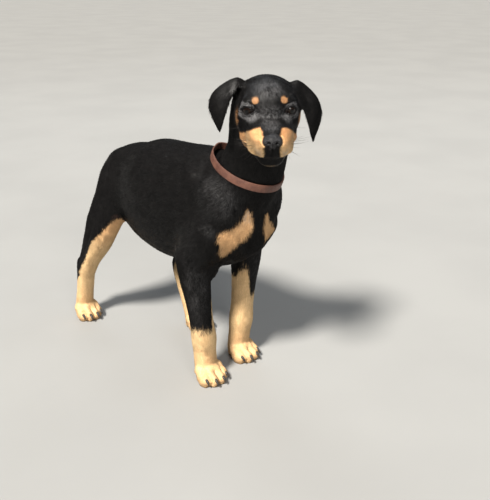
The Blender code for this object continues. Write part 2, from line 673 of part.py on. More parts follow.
def collar(neck):
    """The strap with its overlapping tongue, the buckle, its prong and the keeper."""
    tree = BVHTree.FromPolygons([v.co for v in neck.data.vertices],
                                [p.vertices[:] for p in neck.data.polygons])
    centre, axis, side, throat = ring_frame()
    count = 52
    angles = np.linspace(0, 2 * math.pi, count, endpoint=False)
    ways = [throat * math.cos(a) + side * math.sin(a) for a in angles]
    reach = np.array([collar_radius(tree, centre, axis, way) for way in ways])
    spread = np.array([reach[(np.arange(-1, 2) + i) % count].max() for i in range(count)])
    even = np.array([spread[(np.arange(-4, 5) + i) % count].mean() for i in range(count)])
    inner = np.maximum(even, reach) + 0.0008
    buckle_at, tongue_end = math.radians(BUCKLE_AT), math.radians(BUCKLE_AT + 52)
    rings = []
    for a, way, r in zip(angles, ways, inner):
        thick = STRAP_THICKNESS
        if buckle_at <= a <= tongue_end:
            thick += 0.0018 * min(1.0, (tongue_end - a) / math.radians(6) + 0.15)
        wide = STRAP_WIDTH / 2
        section = ((-wide + 0.0005, 0), (wide - 0.0005, 0), (wide, 0.0005), (wide, thick - 0.0007),
                   (wide - 0.0007, thick), (-wide + 0.0007, thick), (-wide, thick - 0.0007),
                   (-wide, 0.0005))
        rings.append([centre + way * (r + out) + axis * up for up, out in section])
    strap = skin_over("collar_strap", rings, closed=True)

    def on_strap(degrees, out, up):
        a = math.radians(degrees)
        r = np.interp(a, angles, inner)
        return centre + (throat * math.cos(a) + side * math.sin(a)) * (r + out) + axis * up

    top = STRAP_THICKNESS + 0.0018 + GAP
    buckle = frame_of("collar_buckle", [on_strap(BUCKLE_AT + d, top + 0.0011, up) for d, up in
                      ((-3, -0.0082), (10, -0.0082), (13, -0.0066), (13, 0.0066),
                       (10, 0.0082), (-3, 0.0082), (-6, 0.0066), (-6, -0.0066))], 0.0010)
    prong_out = top + 0.0022 + 2 * GAP
    prong = rod("collar_prong", [on_strap(BUCKLE_AT + d, out + 0.0007, 0) for d, out in
                                 ((-8.5, prong_out), (-2, prong_out + 0.0004),
                                  (6, prong_out + 0.0003), (15.5, prong_out))], 0.0007)
    wide = STRAP_WIDTH / 2 + GAP
    rings = []
    for degrees in np.linspace(BUCKLE_AT + 22, BUCKLE_AT + 30, 5):
        section = ((-wide, 0.0003), (-wide - 0.0012, 0.0003), (-wide - 0.0012, top + 0.0010),
                   (-wide - 0.0004, top + 0.0016), (wide + 0.0004, top + 0.0016),
                   (wide + 0.0012, top + 0.0010), (wide + 0.0012, 0.0003), (wide, 0.0003),
                   (wide, top), (-wide, top))
        rings.append([on_strap(degrees, out, up) for up, out in section])
    keeper = skin_over("collar_keeper", rings)
    return [strap, buckle, prong, keeper]


def rod(name, points, radius, closed=False, sides=6):
    """A round wire through points."""
    rings = []
    count = len(points)
    for i, point in enumerate(points):
        before = points[(i - 1) % count] if closed or i else point
        after = points[(i + 1) % count] if closed or i < count - 1 else point
        along = (after - before).normalized()
        side = along.orthogonal().normalized() if not rings else (
            held - along * held.dot(along)).normalized()
        held = side
        up = along.cross(side)
        rings.append([point + (side * math.cos(a) + up * math.sin(a)) * radius
                      for a in np.linspace(0, 2 * math.pi, sides, endpoint=False)])
    return skin_over(name, rings, closed)


def frame_of(name, points, radius):
    """A closed wire frame through its corners."""
    run = []
    for i, point in enumerate(points):
        after = points[(i + 1) % len(points)]
        run += [point, point.lerp(after, 0.5)]
    return rod(name, run, radius, closed=True)


# ---------------------------------------------------------------- parting
def prism(name, outline, outer):
    """A block whose side view is an outline of (ahead, up, inner x), out to one x."""
    inner = [at(x, ahead, up) for ahead, up, x in outline]
    return skin_over(name, [inner, [Vector((outer, place.y, place.z)) for place in inner]])


def part_off(obj, name, cutter):
    """Splits off what lies inside a block and leaves the gap around it."""
    grown = swollen(cutter, GAP * math.sqrt(3))
    piece = boolean(copy_of(obj, name), cutter, "INTERSECT")
    boolean(obj, grown, "DIFFERENCE")
    drop(cutter, grown)
    return piece


def keep_side(obj, place, way):
    """Keeps what lies ahead of a plane, set back by half the gap."""
    way = at(*way).normalized()
    side = block("side", (0, 0, 0), (1, 1, 1))
    turn = way.to_track_quat("Z", "Y").to_matrix().to_4x4()
    moved(side, Matrix.Translation(at(*place) + way * (0.5 + GAP / 2)) @ turn)
    boolean(obj, side, "INTERSECT")
    drop(side)
    return obj


def opposite(way):
    return tuple(-c for c in way)


KNEE_HEIGHT = 0.158       # between the thigh and the shank
PASTERN_HEIGHT = 0.048    # between a leg and its paw
FLANKS = {                # front edge of the thigh: ahead at the knee, ahead at the back
    "right": (-0.112, -0.098), "left": (-0.038, -0.098)}


def head_nodes(place):
    skull = keep_side(head(place), *NECK_PLANE)
    pad = nose(place)
    trimmed(skull, pad)
    line = mouth_cutter(skull, place)
    boolean(skull, line, "DIFFERENCE")
    drop(line)
    made = [skull, pad]
    for tag, sign in SIDES:
        ball, socket, opening = eye_parts(tag, sign, place)
        boolean(socket, opening, "UNION")
        hollow = concha(sign, place)
        boolean(skull, socket, "DIFFERENCE")
        boolean(skull, hollow, "DIFFERENCE")
        drop(socket, opening, hollow)
        made += [ball, trimmed(ear(tag, sign, place), skull)]
    return made


def leg_nodes(whole, tag, sign):
    """Foreleg, thigh and shank with their paws and claws, parted from the torso."""
    elbow = FORE_JOINTS[tag]["elbow"]
    knee_front, back_front = FLANKS[tag]
    low = -0.02
    foot, axilla, shin, groin = sign * 0.006, sign * 0.037, sign * 0.012, sign * 0.020
    leg = part_off(whole, "foreleg_" + tag, prism("fore", (
        (elbow[1] - 0.042, low, foot), (elbow[1] + 0.050, low, foot),
        (elbow[1] + 0.050, 0.190, axilla), (elbow[1] - 0.042, 0.206, axilla)), sign * 0.12))
    shank = part_off(whole, "shank_" + tag, prism("low", (
        (-0.30, low, shin), (-0.02, low, shin), (-0.02, KNEE_HEIGHT, sign * 0.03),
        (-0.30, KNEE_HEIGHT, sign * 0.03)), sign * 0.12))
    thigh = part_off(whole, "thigh_" + tag, prism("high", (
        (-0.24, KNEE_HEIGHT + GAP, groin), (knee_front, KNEE_HEIGHT + GAP, groin),
        (back_front, 0.300, groin), (-0.24, 0.300, groin)), sign * 0.12))
    made = [leg, thigh, shank]
    for limb, name, run, foot, narrow in (
            (leg, "forepaw_", wrist_run(tag, sign), FORE_JOINTS[tag]["foot"], 1.0),
            (shank, "hindpaw_", hock_run(tag, sign), HIND_JOINTS[tag]["foot"], 0.92)):
        ground = paw_place(sign, foot, 4)
        cut = (0, 0, PASTERN_HEIGHT)
        keep_side(limb, cut, (0, 0, 1))
        sole = keep_side(paw(name + tag, run, ground, narrow), cut, (0, 0, -1))
        made.append(sole)
        made += [trimmed(claw, sole)
                 for claw in claws("claw_" + name[:4] + "_" + tag, ground, narrow)]
    return made


# ---------------------------------------------------------------- finishes
FINISHES = {  # colour, roughness, metallic
    "coat": ((0.022, 0.020, 0.019), 0.55, 0.0),
    "tan_coat": ((0.52, 0.30, 0.14), 0.60, 0.0),
    "nose_leather": ((0.016, 0.015, 0.016), 0.45, 0.0),
    "eye": ((0.020, 0.012, 0.009), 0.08, 0.0),
    "claw": ((0.030, 0.025, 0.022), 0.35, 0.0),
    "collar_leather": ((0.34, 0.13, 0.075), 0.50, 0.0),
    "buckle": ((0.62, 0.60, 0.56), 0.30, 1.0),
}
FINISH_OF = (("nose", "nose_leather"), ("eye", "eye"), ("claw", "claw"), ("collar_strap", "collar_leather"),
             ("collar_keeper", "collar_leather"), ("collar", "buckle"), ("forepaw", "tan_coat"),
             ("hindpaw", "tan_coat"), ("", "coat"))


def finish(obj):
    """Shades a node smooth and gives it a material of its own."""
    slot = next(slot for start, slot in FINISH_OF if obj.name.startswith(start))
    colour, roughness, metallic = FINISHES[slot]
    material = bpy.data.materials.new(obj.name + "_" + slot)
    material.use_nodes = True
    shader = material.node_tree.nodes["Principled BSDF"]
    shader.inputs["Base Color"].default_value = (*colour, 1)
    shader.inputs["Roughness"].default_value = roughness
    shader.inputs["Metallic"].default_value = metallic
    obj.data.materials.clear()
    obj.data.materials.append(material)
    obj.data.shade_smooth()
    obj.data.set_sharp_from_angle(angle=math.radians(40))


def stand_at_origin(nodes):
    """Moves the whole so that its origin is the middle of its box, on the floor."""
    corners = np.array([v.co[:] for obj in nodes for v in obj.data.vertices])
    low, high = corners.min(axis=0), corners.max(axis=0)
    shift = Matrix.Translation((-(low[0] + high[0]) / 2, -(low[1] + high[1]) / 2, -low[2]))
    for obj in nodes:
        moved(obj, shift)


def main():
    clear_scene()
    nodes = head_nodes(head_matrix())
    whole = keep_side(body(), NECK_PLANE[0], opposite(NECK_PLANE[1]))
    nodes += collar(whole)
    neck = keep_side(copy_of(whole, "neck"), *CHEST_PLANE)
    keep_side(whole, CHEST_PLANE[0], opposite(CHEST_PLANE[1]))
    dock = part_off(whole, "tail", prism("dock", (
        (-0.240, 0.180, -0.03), (-0.178, 0.180, -0.03), (-0.170, 0.255, -0.03),
        (-0.196, 0.282, -0.03), (-0.240, 0.282, -0.03)), 0.03))
    nodes += [neck, dock]
    for tag, sign in SIDES:
        nodes += leg_nodes(whole, tag, sign)
    whole.name = "torso"
    nodes.append(whole)
    stand_at_origin(nodes)
    for obj in nodes:
        finish(obj)
        obj.hide_render = False
        obj.display_type = "TEXTURED"
        bpy.data.collections["puppy"].objects.link(obj)
        bpy.data.collections["helpers"].objects.unlink(obj)


main()
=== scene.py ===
import itertools
import math

import bmesh
import bpy
import numpy as np
from mathutils import Matrix, Vector
from mathutils.bvhtree import BVHTree


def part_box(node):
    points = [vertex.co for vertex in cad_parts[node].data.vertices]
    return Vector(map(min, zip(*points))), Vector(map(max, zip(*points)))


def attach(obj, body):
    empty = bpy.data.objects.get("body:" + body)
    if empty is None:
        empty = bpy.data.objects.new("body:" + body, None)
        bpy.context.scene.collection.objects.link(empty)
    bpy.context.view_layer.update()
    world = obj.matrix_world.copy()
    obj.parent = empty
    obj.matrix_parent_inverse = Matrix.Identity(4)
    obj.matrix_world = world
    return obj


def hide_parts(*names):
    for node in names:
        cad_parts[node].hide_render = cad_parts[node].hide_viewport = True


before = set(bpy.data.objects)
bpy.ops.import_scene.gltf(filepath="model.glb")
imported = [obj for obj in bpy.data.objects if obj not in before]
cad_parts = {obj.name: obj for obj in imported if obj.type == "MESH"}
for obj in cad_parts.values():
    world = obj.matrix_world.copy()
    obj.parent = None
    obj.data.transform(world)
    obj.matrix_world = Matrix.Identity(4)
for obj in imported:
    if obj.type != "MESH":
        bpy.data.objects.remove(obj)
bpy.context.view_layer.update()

sides = (("right", -1), ("left", 1))

# places below are (left, ahead, up) of the dog, or (across, ahead, up) from between its eyes
headPlace = (-0.0345, 0.197, 0.411)
headTilt, headYaw = 12, -41              # degrees: nose down, face turned to its right
eyeApart, eyeAhead, eyeRadius = 0.0460, 0.0010, 0.0086
foreJoints = {
    "right": ((0.050, 0.104, 0.236), (0.052, 0.068, 0.184), (0.047, 0.083, 0.066), (0.047, 0.086, 0.020)),
    "left": ((0.051, 0.104, 0.236), (0.056, 0.066, 0.182), (0.037, 0.073, 0.064), (0.032, 0.071, 0.020))}
hindJoints = {
    "right": ((0.032, -0.133, 0.262), (0.056, -0.142, 0.176), (0.063, -0.204, 0.090), (0.066, -0.216, 0.020)),
    "left": ((0.034, -0.134, 0.262), (0.056, -0.070, 0.174), (0.050, -0.086, 0.092), (0.043, -0.048, 0.020))}

flip = np.array((1.0, -1.0, 1.0))
headMatrix = (Matrix.Translation(Vector(headPlace) * Vector(flip))
              @ Matrix.Rotation(math.radians(headYaw), 4, "Z")
              @ Matrix.Rotation(math.radians(headTilt), 4, "X"))
lowEye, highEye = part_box("eye_left")
shift = (lowEye + highEye) / 2 - headMatrix @ Vector((eyeApart / 2, -eyeAhead, 0))
headTurn = np.array(headMatrix.to_3x3())
headOrigin = np.array(headMatrix.translation + shift)


def dogPoints(rows):                     # from left, ahead and up to the frame's own axes
    return np.asarray(rows, float) * flip + np.array(shift)


def toDog(points):
    return (points - np.array(shift)) * flip


def fromHead(rows):                      # from the head's axes to the frame's
    return (np.asarray(rows, float) * flip) @ headTurn.T + headOrigin


def toHead(points):
    return ((points - headOrigin) @ headTurn) * flip


def folded(rows):                        # the right side laid over the left one
    return np.column_stack([np.abs(rows[:, 0]), rows[:, 1:]])


def unit(vectors):
    return vectors / np.maximum(np.linalg.norm(vectors, axis=-1, keepdims=True), 1e-12)


# 0 below the first value, 1 above the second, and an S curve between them
def ramp(low, high, values):
    t = np.clip((values - low) / (high - low), 0, 1)
    return t * t * (3 - 2 * t)


# bells of height 1: round zero, and round a place with its own half width along each axis
def hump(values, width):
    return np.exp(-(values / width) ** 2)


def bell(points, place, widths):
    return np.exp(-(((points - np.array(place)) / np.array(widths)) ** 2).sum(axis=-1))


# a random value at each corner of a lattice, blended smoothly between the corners: -1 to 1
def softNoise(points, size, seed=0):
    spot = np.asarray(points, float) / size + 500.0
    cell = np.floor(spot).astype(np.int64)
    share = spot - cell
    share = share * share * (3 - 2 * share)
    total = np.zeros(len(spot))
    for corner in itertools.product((0, 1), repeat=3):
        c = cell + np.array(corner)
        mixed = (c[:, 0] * 73856093) ^ (c[:, 1] * 19349663) ^ (c[:, 2] * 83492791) ^ (seed * 2654435 + 97)
        mixed = ((mixed ^ (mixed >> 13)) * 1274126177) & 0x7fffffff
        value = ((mixed ^ (mixed >> 15)) & 0xffff) / 65535.0
        total += value * np.prod(np.where(corner, share, 1 - share), axis=1)
    return total * 2 - 1


# a curve through rows of numbers, each span the cubic whose end slopes follow the rows beside it
def curveThrough(stations, perSpan):
    rows = np.array(stations, float)
    padded = np.vstack([2 * rows[0] - rows[1], rows, 2 * rows[-1] - rows[-2]])
    before, start, end, after = (padded[i:len(rows) - 1 + i, None] for i in range(4))
    t = (np.arange(perSpan) / perSpan)[None, :, None]
    made = 0.5 * (2 * start + (end - before) * t + (2 * before - 5 * start + 4 * end - after) * t ** 2
                  + (3 * start - before - 3 * end + after) * t ** 3)
    return np.vstack([made.reshape(-1, rows.shape[1]), rows[-1:]])


# signed distance to an outline of (u, v) corners, positive inside it
def insideOutline(u, v, corners):
    nearest = np.full(len(u), 1e9)
    crossings = np.zeros(len(u), int)
    for (u0, v0), (u1, v1) in zip(corners, corners[1:] + corners[:1]):
        du, dv = u1 - u0, v1 - v0
        t = np.clip(((u - u0) * du + (v - v0) * dv) / (du * du + dv * dv), 0, 1)
        nearest = np.minimum(nearest, np.hypot(u - u0 - t * du, v - v0 - t * dv))
        spans = (v0 > v) != (v1 > v)
        crossings += spans & (u < u0 + (v - v0) * du / (dv if dv else 1e-12))
    return np.where(crossings % 2 == 1, nearest, -nearest)


def turns(count):                        # angles evenly round a circle
    return np.linspace(0, 2 * np.pi, count, endpoint=False)


def readArray(items, name, width, kind=float):
    values = np.empty(len(items) * width, kind)
    items.foreach_get(name, values)
    return values.reshape(-1, width)


def pointsOf(mesh):
    return readArray(mesh.vertices, "co", 3)


def normalsOf(mesh):
    return readArray(mesh.vertices, "normal", 3)


def edgesOf(mesh):
    return readArray(mesh.edges, "vertices", 2, np.int32)


def setPoints(mesh, points):
    mesh.vertices.foreach_set("co", np.asarray(points, np.float32).ravel())
    mesh.update()


def meshFrom(name, points, faces):
    mesh = bpy.data.meshes.new(name)
    faces = np.asarray(faces, np.int32)
    mesh.vertices.add(len(points))
    mesh.vertices.foreach_set("co", np.asarray(points, np.float32).ravel())
    mesh.loops.add(faces.size)
    mesh.loops.foreach_set("vertex_index", faces.ravel())
    mesh.polygons.add(len(faces))
    mesh.polygons.foreach_set("loop_start", np.arange(0, faces.size, faces.shape[1], dtype=np.int32))
    mesh.update(calc_edges=True)
    mesh.shade_smooth()
    return mesh


def setValues(mesh, name, values, kind="FLOAT"):
    layer = mesh.attributes.new(name, kind, "POINT")
    layer.data.foreach_set("value" if kind == "FLOAT" else "vector", np.asarray(values, np.float32).ravel())


def placed(name, data):                  # a new object in the scene
    made = bpy.data.objects.new(name, data)
    bpy.context.scene.collection.objects.link(made)
    return made


def addPiece(name, mesh, finish, nodes=()):
    piece = placed(name, mesh)
    mesh.materials.append(finish)
    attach(piece, "root")
    if nodes:
        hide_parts(*nodes)
    return piece


# quads over a grid of points that wraps round across, and along too where asked.
# an open run of rings is closed at each end with triangles to the ring's middle
def tubeMesh(name, grid, wrapAlong=False):
    rows, across = grid.shape[:2]
    i, j = np.meshgrid(np.arange(rows if wrapAlong else rows - 1), np.arange(across), indexing="ij")
    nextRow, nextAcross = (i + 1) % rows, (j + 1) % across
    quads = np.stack([i * across + j, i * across + nextAcross,
                      nextRow * across + nextAcross, nextRow * across + j], axis=-1).reshape(-1, 4)
    points = grid.reshape(-1, 3)
    faces = quads.tolist()
    if not wrapAlong:
        points = np.vstack([points, grid[0].mean(axis=0), grid[-1].mean(axis=0)])
        ring = np.arange(across)
        after = (ring + 1) % across
        first = np.full(across, rows * across)
        last = (rows - 1) * across
        faces += np.stack([after, ring, first], axis=1).tolist()
        faces += np.stack([last + ring, last + after, first + 1], axis=1).tolist()
    mesh = bpy.data.meshes.new(name)
    mesh.from_pydata(points.tolist(), [], faces)
    bm = bmesh.new()
    bm.from_mesh(mesh)
    bmesh.ops.recalc_face_normals(bm, faces=bm.faces)
    bm.to_mesh(mesh)
    bm.free()
    mesh.shade_smooth()
    return mesh


# rings of a round section round each point of a path, in the plane of two directions
def ringsRound(path, radii, first, second, around):
    turn = turns(around)[None, :, None]
    radii = np.asarray(radii, float).reshape(-1, 1, 1)
    return path[:, None] + radii * (first[:, None] * np.cos(turn) + second[:, None] * np.sin(turn))


# the same along an open path, kept from twisting by one fixed direction
def ringsAlong(path, radii, around, upward=(0, 0, 1)):
    along = unit(np.gradient(path, axis=0))
    side = unit(np.cross(along, np.array(upward, float)))
    return ringsRound(path, radii, side, np.cross(side, along), around)


def loopSlopes(path):                    # the direction along a closed path
    return unit(np.roll(path, -1, axis=0) - np.roll(path, 1, axis=0))


def bakedMesh(obj):
    bpy.context.view_layer.update()
    mesh = bpy.data.meshes.new_from_object(obj.evaluated_get(bpy.context.evaluated_depsgraph_get()))
    bpy.data.objects.remove(obj)
    return mesh


class Wire:
    # one output of a node; arithmetic on it adds Math nodes
    def __init__(self, paint, socket):
        self.paint, self.socket = paint, socket

    def math(self, operation, *values):
        return self.paint.add("ShaderNodeMath", {"operation": operation}, dict(enumerate(values)))

    def __add__(self, other):
        return self.math("ADD", self, other)

    def __radd__(self, other):
        return self.math("ADD", other, self)

    def __mul__(self, other):
        return self.math("MULTIPLY", self, other)

    def __rmul__(self, other):
        return self.math("MULTIPLY", other, self)

    def fade(self, low, high, start=0.0, end=1.0):   # start below the low value, end above the high one
        return self.paint.add("ShaderNodeMapRange", {"interpolation_type": "SMOOTHSTEP"},
                              {0: self, 1: low, 2: high, 3: start, 4: end})


class Paint:
    def __init__(self, name):
        self.material = bpy.data.materials.new(name)
        self.material.use_nodes = True
        self.tree = self.material.node_tree
        self.shader = self.tree.nodes["Principled BSDF"]

    def add(self, kind, settings=None, sockets=None, out=0):
        node = self.tree.nodes.new(kind)
        for key, value in (settings or {}).items():
            setattr(node, key, value)
        for key, value in (sockets or {}).items():
            self.join(node.inputs[key], value)
        return Wire(self, node.outputs[out])

    def join(self, socket, value):
        if isinstance(value, Wire):
            self.tree.links.new(value.socket, socket)
        elif socket.type == "RGBA":
            socket.default_value = (*value[:3], 1)
        else:
            socket.default_value = value

    def places(self):
        return self.add("ShaderNodeTexCoord", out="Object")

    def value(self, name, out="Fac"):
        return self.add("ShaderNodeAttribute", {"attribute_name": name}, out=out)

    def noise(self, scale, detail=3.0, rough=0.5, vector=None):
        return self.add("ShaderNodeTexNoise", {}, {"Vector": vector or self.places(), "Scale": scale,
                                                   "Detail": detail, "Roughness": rough})

    def cells(self, scale, wall):            # 0 on the walls between cells, 1 from the wall's width inwards
        return self.add("ShaderNodeTexVoronoi", {"feature": "DISTANCE_TO_EDGE"},
                        {"Vector": self.places(), "Scale": scale}).fade(0.0, wall)

    def mixed(self, share, first, second):
        return self.add("ShaderNodeMix", {"data_type": "RGBA"}, {0: share, 6: first, 7: second}, 2)

    def bump(self, height, depth, strength):
        return self.add("ShaderNodeBump", {}, {"Height": height, "Distance": depth, "Strength": strength})

    def finish(self, sockets):
        for key, value in sockets.items():
            self.join(self.shader.inputs[key], value)
        return self.material


# angles in degrees, as for the lamps: azimuth 0 is ahead of the dog and 90 is its left
cameraView = {"azimuth": -39.0, "elevation": 20.0, "distance": 1.06, "lens": 50.4, "yaw": -4.8, "pitch": 1.8}
aim = Vector((0, 0, 0.2))                # what the camera and the lamps are set round


def direction(azimuth, elevation):
    a, e = math.radians(azimuth), math.radians(elevation)
    return Vector((math.sin(a) * math.cos(e), -math.cos(a) * math.cos(e), math.sin(e)))


def pointedAt(thing, place, look):
    thing.location = place
    thing.rotation_euler = look.to_track_quat("-Z", "Y").to_euler()


def setCamera():
    v = cameraView
    camera = placed("camera", bpy.data.cameras.new("camera"))
    camera.data.lens, camera.data.sensor_width = v["lens"], 36
    camera.data.clip_start, camera.data.clip_end = 0.02, 60
    pointedAt(camera, aim + direction(v["azimuth"], v["elevation"]) * v["distance"] + shift,
              -direction(v["azimuth"] + v["yaw"], v["elevation"] + v["pitch"]))
    bpy.context.scene.camera = camera


# the key lights the whole floor evenly: strength, how wide it looks in degrees, colour, azimuth and elevation
keyLight = (8.5, 11.0, (1.0, 0.955, 0.89), (-75, 51))
# the others: power in watts, size in metres, colour, and where it stands: azimuth, elevation and distance
lamps = {
    "front": (58, 1.3, (1.0, 0.98, 0.95), (-24, 27, 3.6)),
    "rim": (22, 1.6, (0.86, 0.93, 1.0), (150, 55, 3.1)),
    "side": (9, 2.0, (0.95, 0.97, 1.0), (75, 34, 3.4)),
}
worldLight = ((0.88, 0.92, 0.97), 0.19)
floorShape = {"reach": 30.0, "mottle": 3.0, "tones": ((0.255, 0.255, 0.248), (0.272, 0.272, 0.264))}


def addLamp(name, kind, settings, azimuth, elevation, distance):
    light = bpy.data.lights.new(name, kind)
    for key, value in settings.items():
        setattr(light, key, value)
    back = direction(azimuth, elevation)
    pointedAt(placed(name, light), aim + back * distance, -back)


def setStage():
    power, width, colour, where = keyLight
    addLamp("key", "SUN", {"energy": power, "angle": math.radians(width), "color": colour}, *where, 3.0)
    for name, (power, size, colour, where) in lamps.items():
        addLamp(name, "AREA", {"energy": power, "color": colour, "shape": "DISK", "size": size}, *where)
    world = bpy.data.worlds.new("studio")
    bpy.context.scene.world = world
    world.use_nodes = True
    background = world.node_tree.nodes["Background"]
    background.inputs["Color"].default_value = (*worldLight[0], 1)
    background.inputs["Strength"].default_value = worldLight[1]
    corners = np.array([(-1, -1, 0), (1, -1, 0), (1, 1, 0), (-1, 1, 0)], float) * floorShape["reach"]
    floor = placed("floor", meshFrom("floor", corners, [(0, 1, 2, 3)]))
    paint = Paint("studioFloor")
    tone = paint.mixed(paint.noise(floorShape["mottle"], 4.0).fade(0.3, 0.7), *floorShape["tones"])
    floor.data.materials.append(paint.finish({"Base Color": tone, "Roughness": 0.85}))
    bpy.context.scene.view_settings.view_transform = "Standard"


# the bones that the coat and the skin follow. for each kind of run: half thickness, coat depth, hair length
# and width, hairs per square millimetre, and how much the skin relaxes
fieldNames = ("depth", "length", "width", "density", "relax")
fur = {
    "head": (0.034, 0.0007, 0.0034, 0.00036, 1.9, 0.12),
    "jaw": (0.013, 0.0006, 0.0030, 0.00034, 2.0, 0.10),
    "neck": (0.043, 0.0011, 0.0060, 0.00052, 1.15, 0.9),
    "trunk": (0.070, 0.0012, 0.0070, 0.00058, 0.80, 1.0),
    "tail": (0.011, 0.0008, 0.0048, 0.00045, 1.3, 0.5),
    "ear": (0.009, 0.0008, 0.0022, 0.00034, 2.2, 0.12),
    "foreleg": (0.021, 0.0009, 0.0050, 0.00045, 1.15, 0.55),
    "forepaw": (0.017, 0.0006, 0.0026, 0.00034, 2.1, 0.12),
    "thigh": (0.035, 0.0011, 0.0062, 0.00052, 0.95, 0.85),
    "shank": (0.018, 0.0009, 0.0050, 0.00045, 1.15, 0.5),
    "hindpaw": (0.016, 0.0006, 0.0028, 0.00036, 1.9, 0.2)}
earShape = {
    "run": ((0.0300, -0.036, 0.0200), (0.0470, -0.033, 0.0185), (0.0575, -0.028, 0.0100),
            (0.0615, -0.021, -0.0010), (0.0610, -0.016, -0.0145), (0.0580, -0.014, -0.0355)),
    "leftShift": (0.002, 0, 0.0045), "leftDrop": (0, 0, 0.0095)}


def bonePaths():
    made = {
        "head": fromHead([(0, 0.054, -0.022), (0, -0.058, -0.010)]),
        "jaw": fromHead([(0, 0.046, -0.042), (0, -0.020, -0.044)]),
        "neck": dogPoints([(-0.012, 0.157, 0.400), (0.001, 0.143, 0.348), (0.003, 0.098, 0.288)]),
        "trunk": dogPoints([(0, 0.112, 0.246), (0, 0.030, 0.244), (0, -0.060, 0.242), (0, -0.150, 0.256)]),
        "tail": dogPoints([(0, -0.168, 0.264), (0, -0.189, 0.243), (0, -0.196, 0.216)])}
    for tag, sign in sides:
        mirrored = np.array((sign, 1, 1))
        ear = np.array(earShape["run"]) * mirrored
        if sign > 0:                         # the left ear hangs a little nearer and lower
            down = np.linspace(0, 1, len(ear))[:, None]
            ear = ear - np.array(earShape["leftShift"]) - down * earShape["leftDrop"]
        elbow, wrist, foot = (np.array(foreJoints[tag]) * mirrored)[1:]
        hip, stifle, hock, sole = np.array(hindJoints[tag]) * mirrored
        made["ear_" + tag] = fromHead(ear)
        limbs = {"foreleg": (elbow, wrist), "forepaw": (wrist, foot, foot + (0, 0.026, -0.010)),
                 "thigh": (hip, stifle), "shank": (stifle, hock),
                 "hindpaw": (hock, sole, sole + (0, 0.025, -0.010))}
        for limb, places in limbs.items():
            made[limb + "_" + tag] = dogPoints(places)
    return made


paths = bonePaths()


# blends every run's values by how near it is, as the distance over its thickness to the power of minus eight.
# gives the blended values, the direction along the bones, the run that each point is nearest to, every
# run's share, and places squeezed along the bones, on which a noise turns into strokes
def fieldsAt(points):
    total = np.zeros(len(points))
    fields = {name: np.zeros(len(points)) for name in fieldNames}
    flow, strokes = np.zeros((len(points), 3)), np.zeros((len(points), 3))
    best, label = np.full(len(points), 1e9), np.zeros(len(points), int)
    shares = {}
    for number, (name, path) in enumerate(paths.items()):
        thick, *values = fur[name.split("_")[0]]
        shares[name] = np.zeros(len(points))
        for start, end in zip(path[:-1], path[1:]):
            span = end - start
            t = np.clip((points - start) @ span / (span @ span), 0, 1)
            away = np.linalg.norm(points - start - t[:, None] * span, axis=1) / thick
            weight = np.maximum(away, 0.2) ** -8.0
            total += weight
            shares[name] += weight
            along = span / np.linalg.norm(span)
            flow += weight[:, None] * along
            rel = points - path[0]
            strokes += weight[:, None] * (rel - 0.86 * (rel @ along)[:, None] * along)
            for fieldName, value in zip(fieldNames, values):
                fields[fieldName] += weight * value
            label = np.where(away < best, number, label)
            best = np.minimum(best, away)
    for fieldName in fieldNames:
        fields[fieldName] /= total
    for name in shares:
        shares[name] /= total
    return fields, flow / total[:, None], label, shares, strokes / total[:, None]


skinShape = {"voxel": 0.00125, "swell": 0.0003, "earSwell": 0.0009, "allRounds": 8, "bodyRounds": 36,
             "keep": 0.086, "underCollar": 0.0012, "earClear": {"right": 0.0, "left": 0.0011}}
flesh = ["head", "neck", "torso", "tail"] + [part + "_" + tag for tag, sign in sides for part in
                                            ("ear", "foreleg", "forepaw", "thigh", "shank", "hindpaw")]


# a merged copy of a node's mesh with its surface pushed out, so that thin cuts close
def nodeShape(name, swell):
    bm = bmesh.new()
    bm.from_mesh(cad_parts[name].data)
    bmesh.ops.remove_doubles(bm, verts=bm.verts, dist=1e-6)
    bmesh.ops.triangulate(bm, faces=bm.faces)
    mesh = bpy.data.meshes.new("copy")
    bm.to_mesh(mesh)
    bm.free()
    points = pointsOf(mesh) + normalsOf(mesh) * swell
    faces = readArray(mesh.polygons, "vertices", 3, np.int32)
    bpy.data.meshes.remove(mesh)
    return points, faces


# each point moves towards the middle of its neighbours by its own share, round after round
def relaxed(points, edges, shares, rounds):
    ends = np.concatenate([edges[:, 0], edges[:, 1]])
    starts = np.concatenate([edges[:, 1], edges[:, 0]])
    count = np.maximum(np.bincount(ends, minlength=len(points)), 1)[:, None]
    for i in range(rounds):
        middle = np.stack([np.bincount(ends, points[starts, k], len(points)) for k in range(3)], axis=1)
        points = points + (middle / count - points) * shares[:, None]
    return points


def fusedSkin():
    points, faces, start = [], [], 0
    for name in flesh + ["nose", "eye_right", "eye_left"]:
        nodePoints, nodeFaces = nodeShape(name, skinShape["earSwell" if name.startswith("ear") else "swell"])
        if name.startswith("ear"):           # the hanging part is held clear of the cheek
            h = toHead(nodePoints)
            h[:, 0] += np.sign(h[:, 0]) * skinShape["earClear"][name[4:]] * ramp(0.014, 0.002, h[:, 2])
            nodePoints = fromHead(h)
        points.append(nodePoints)
        faces.append(nodeFaces + start)
        start += len(nodePoints)
    rough = placed("rough", meshFrom("rough", np.vstack(points), np.vstack(faces)))
    fuse = rough.modifiers.new("fuse", "REMESH")
    fuse.mode, fuse.voxel_size = "VOXEL", skinShape["voxel"]
    mesh = bakedMesh(rough)
    points, edges = pointsOf(mesh), edgesOf(mesh)
    fields = fieldsAt(points)[0]
    for step in (0.5, -0.52) * skinShape["allRounds"]:   # in and a bit further out: evens without shrinking
        points = relaxed(points, edges, np.full(len(points), step), 1)
    setPoints(mesh, relaxed(points, edges, fields["relax"] * 0.5, skinShape["bodyRounds"]))
    print("skin fused:", len(points))
    return thinnedSkin(mesh)


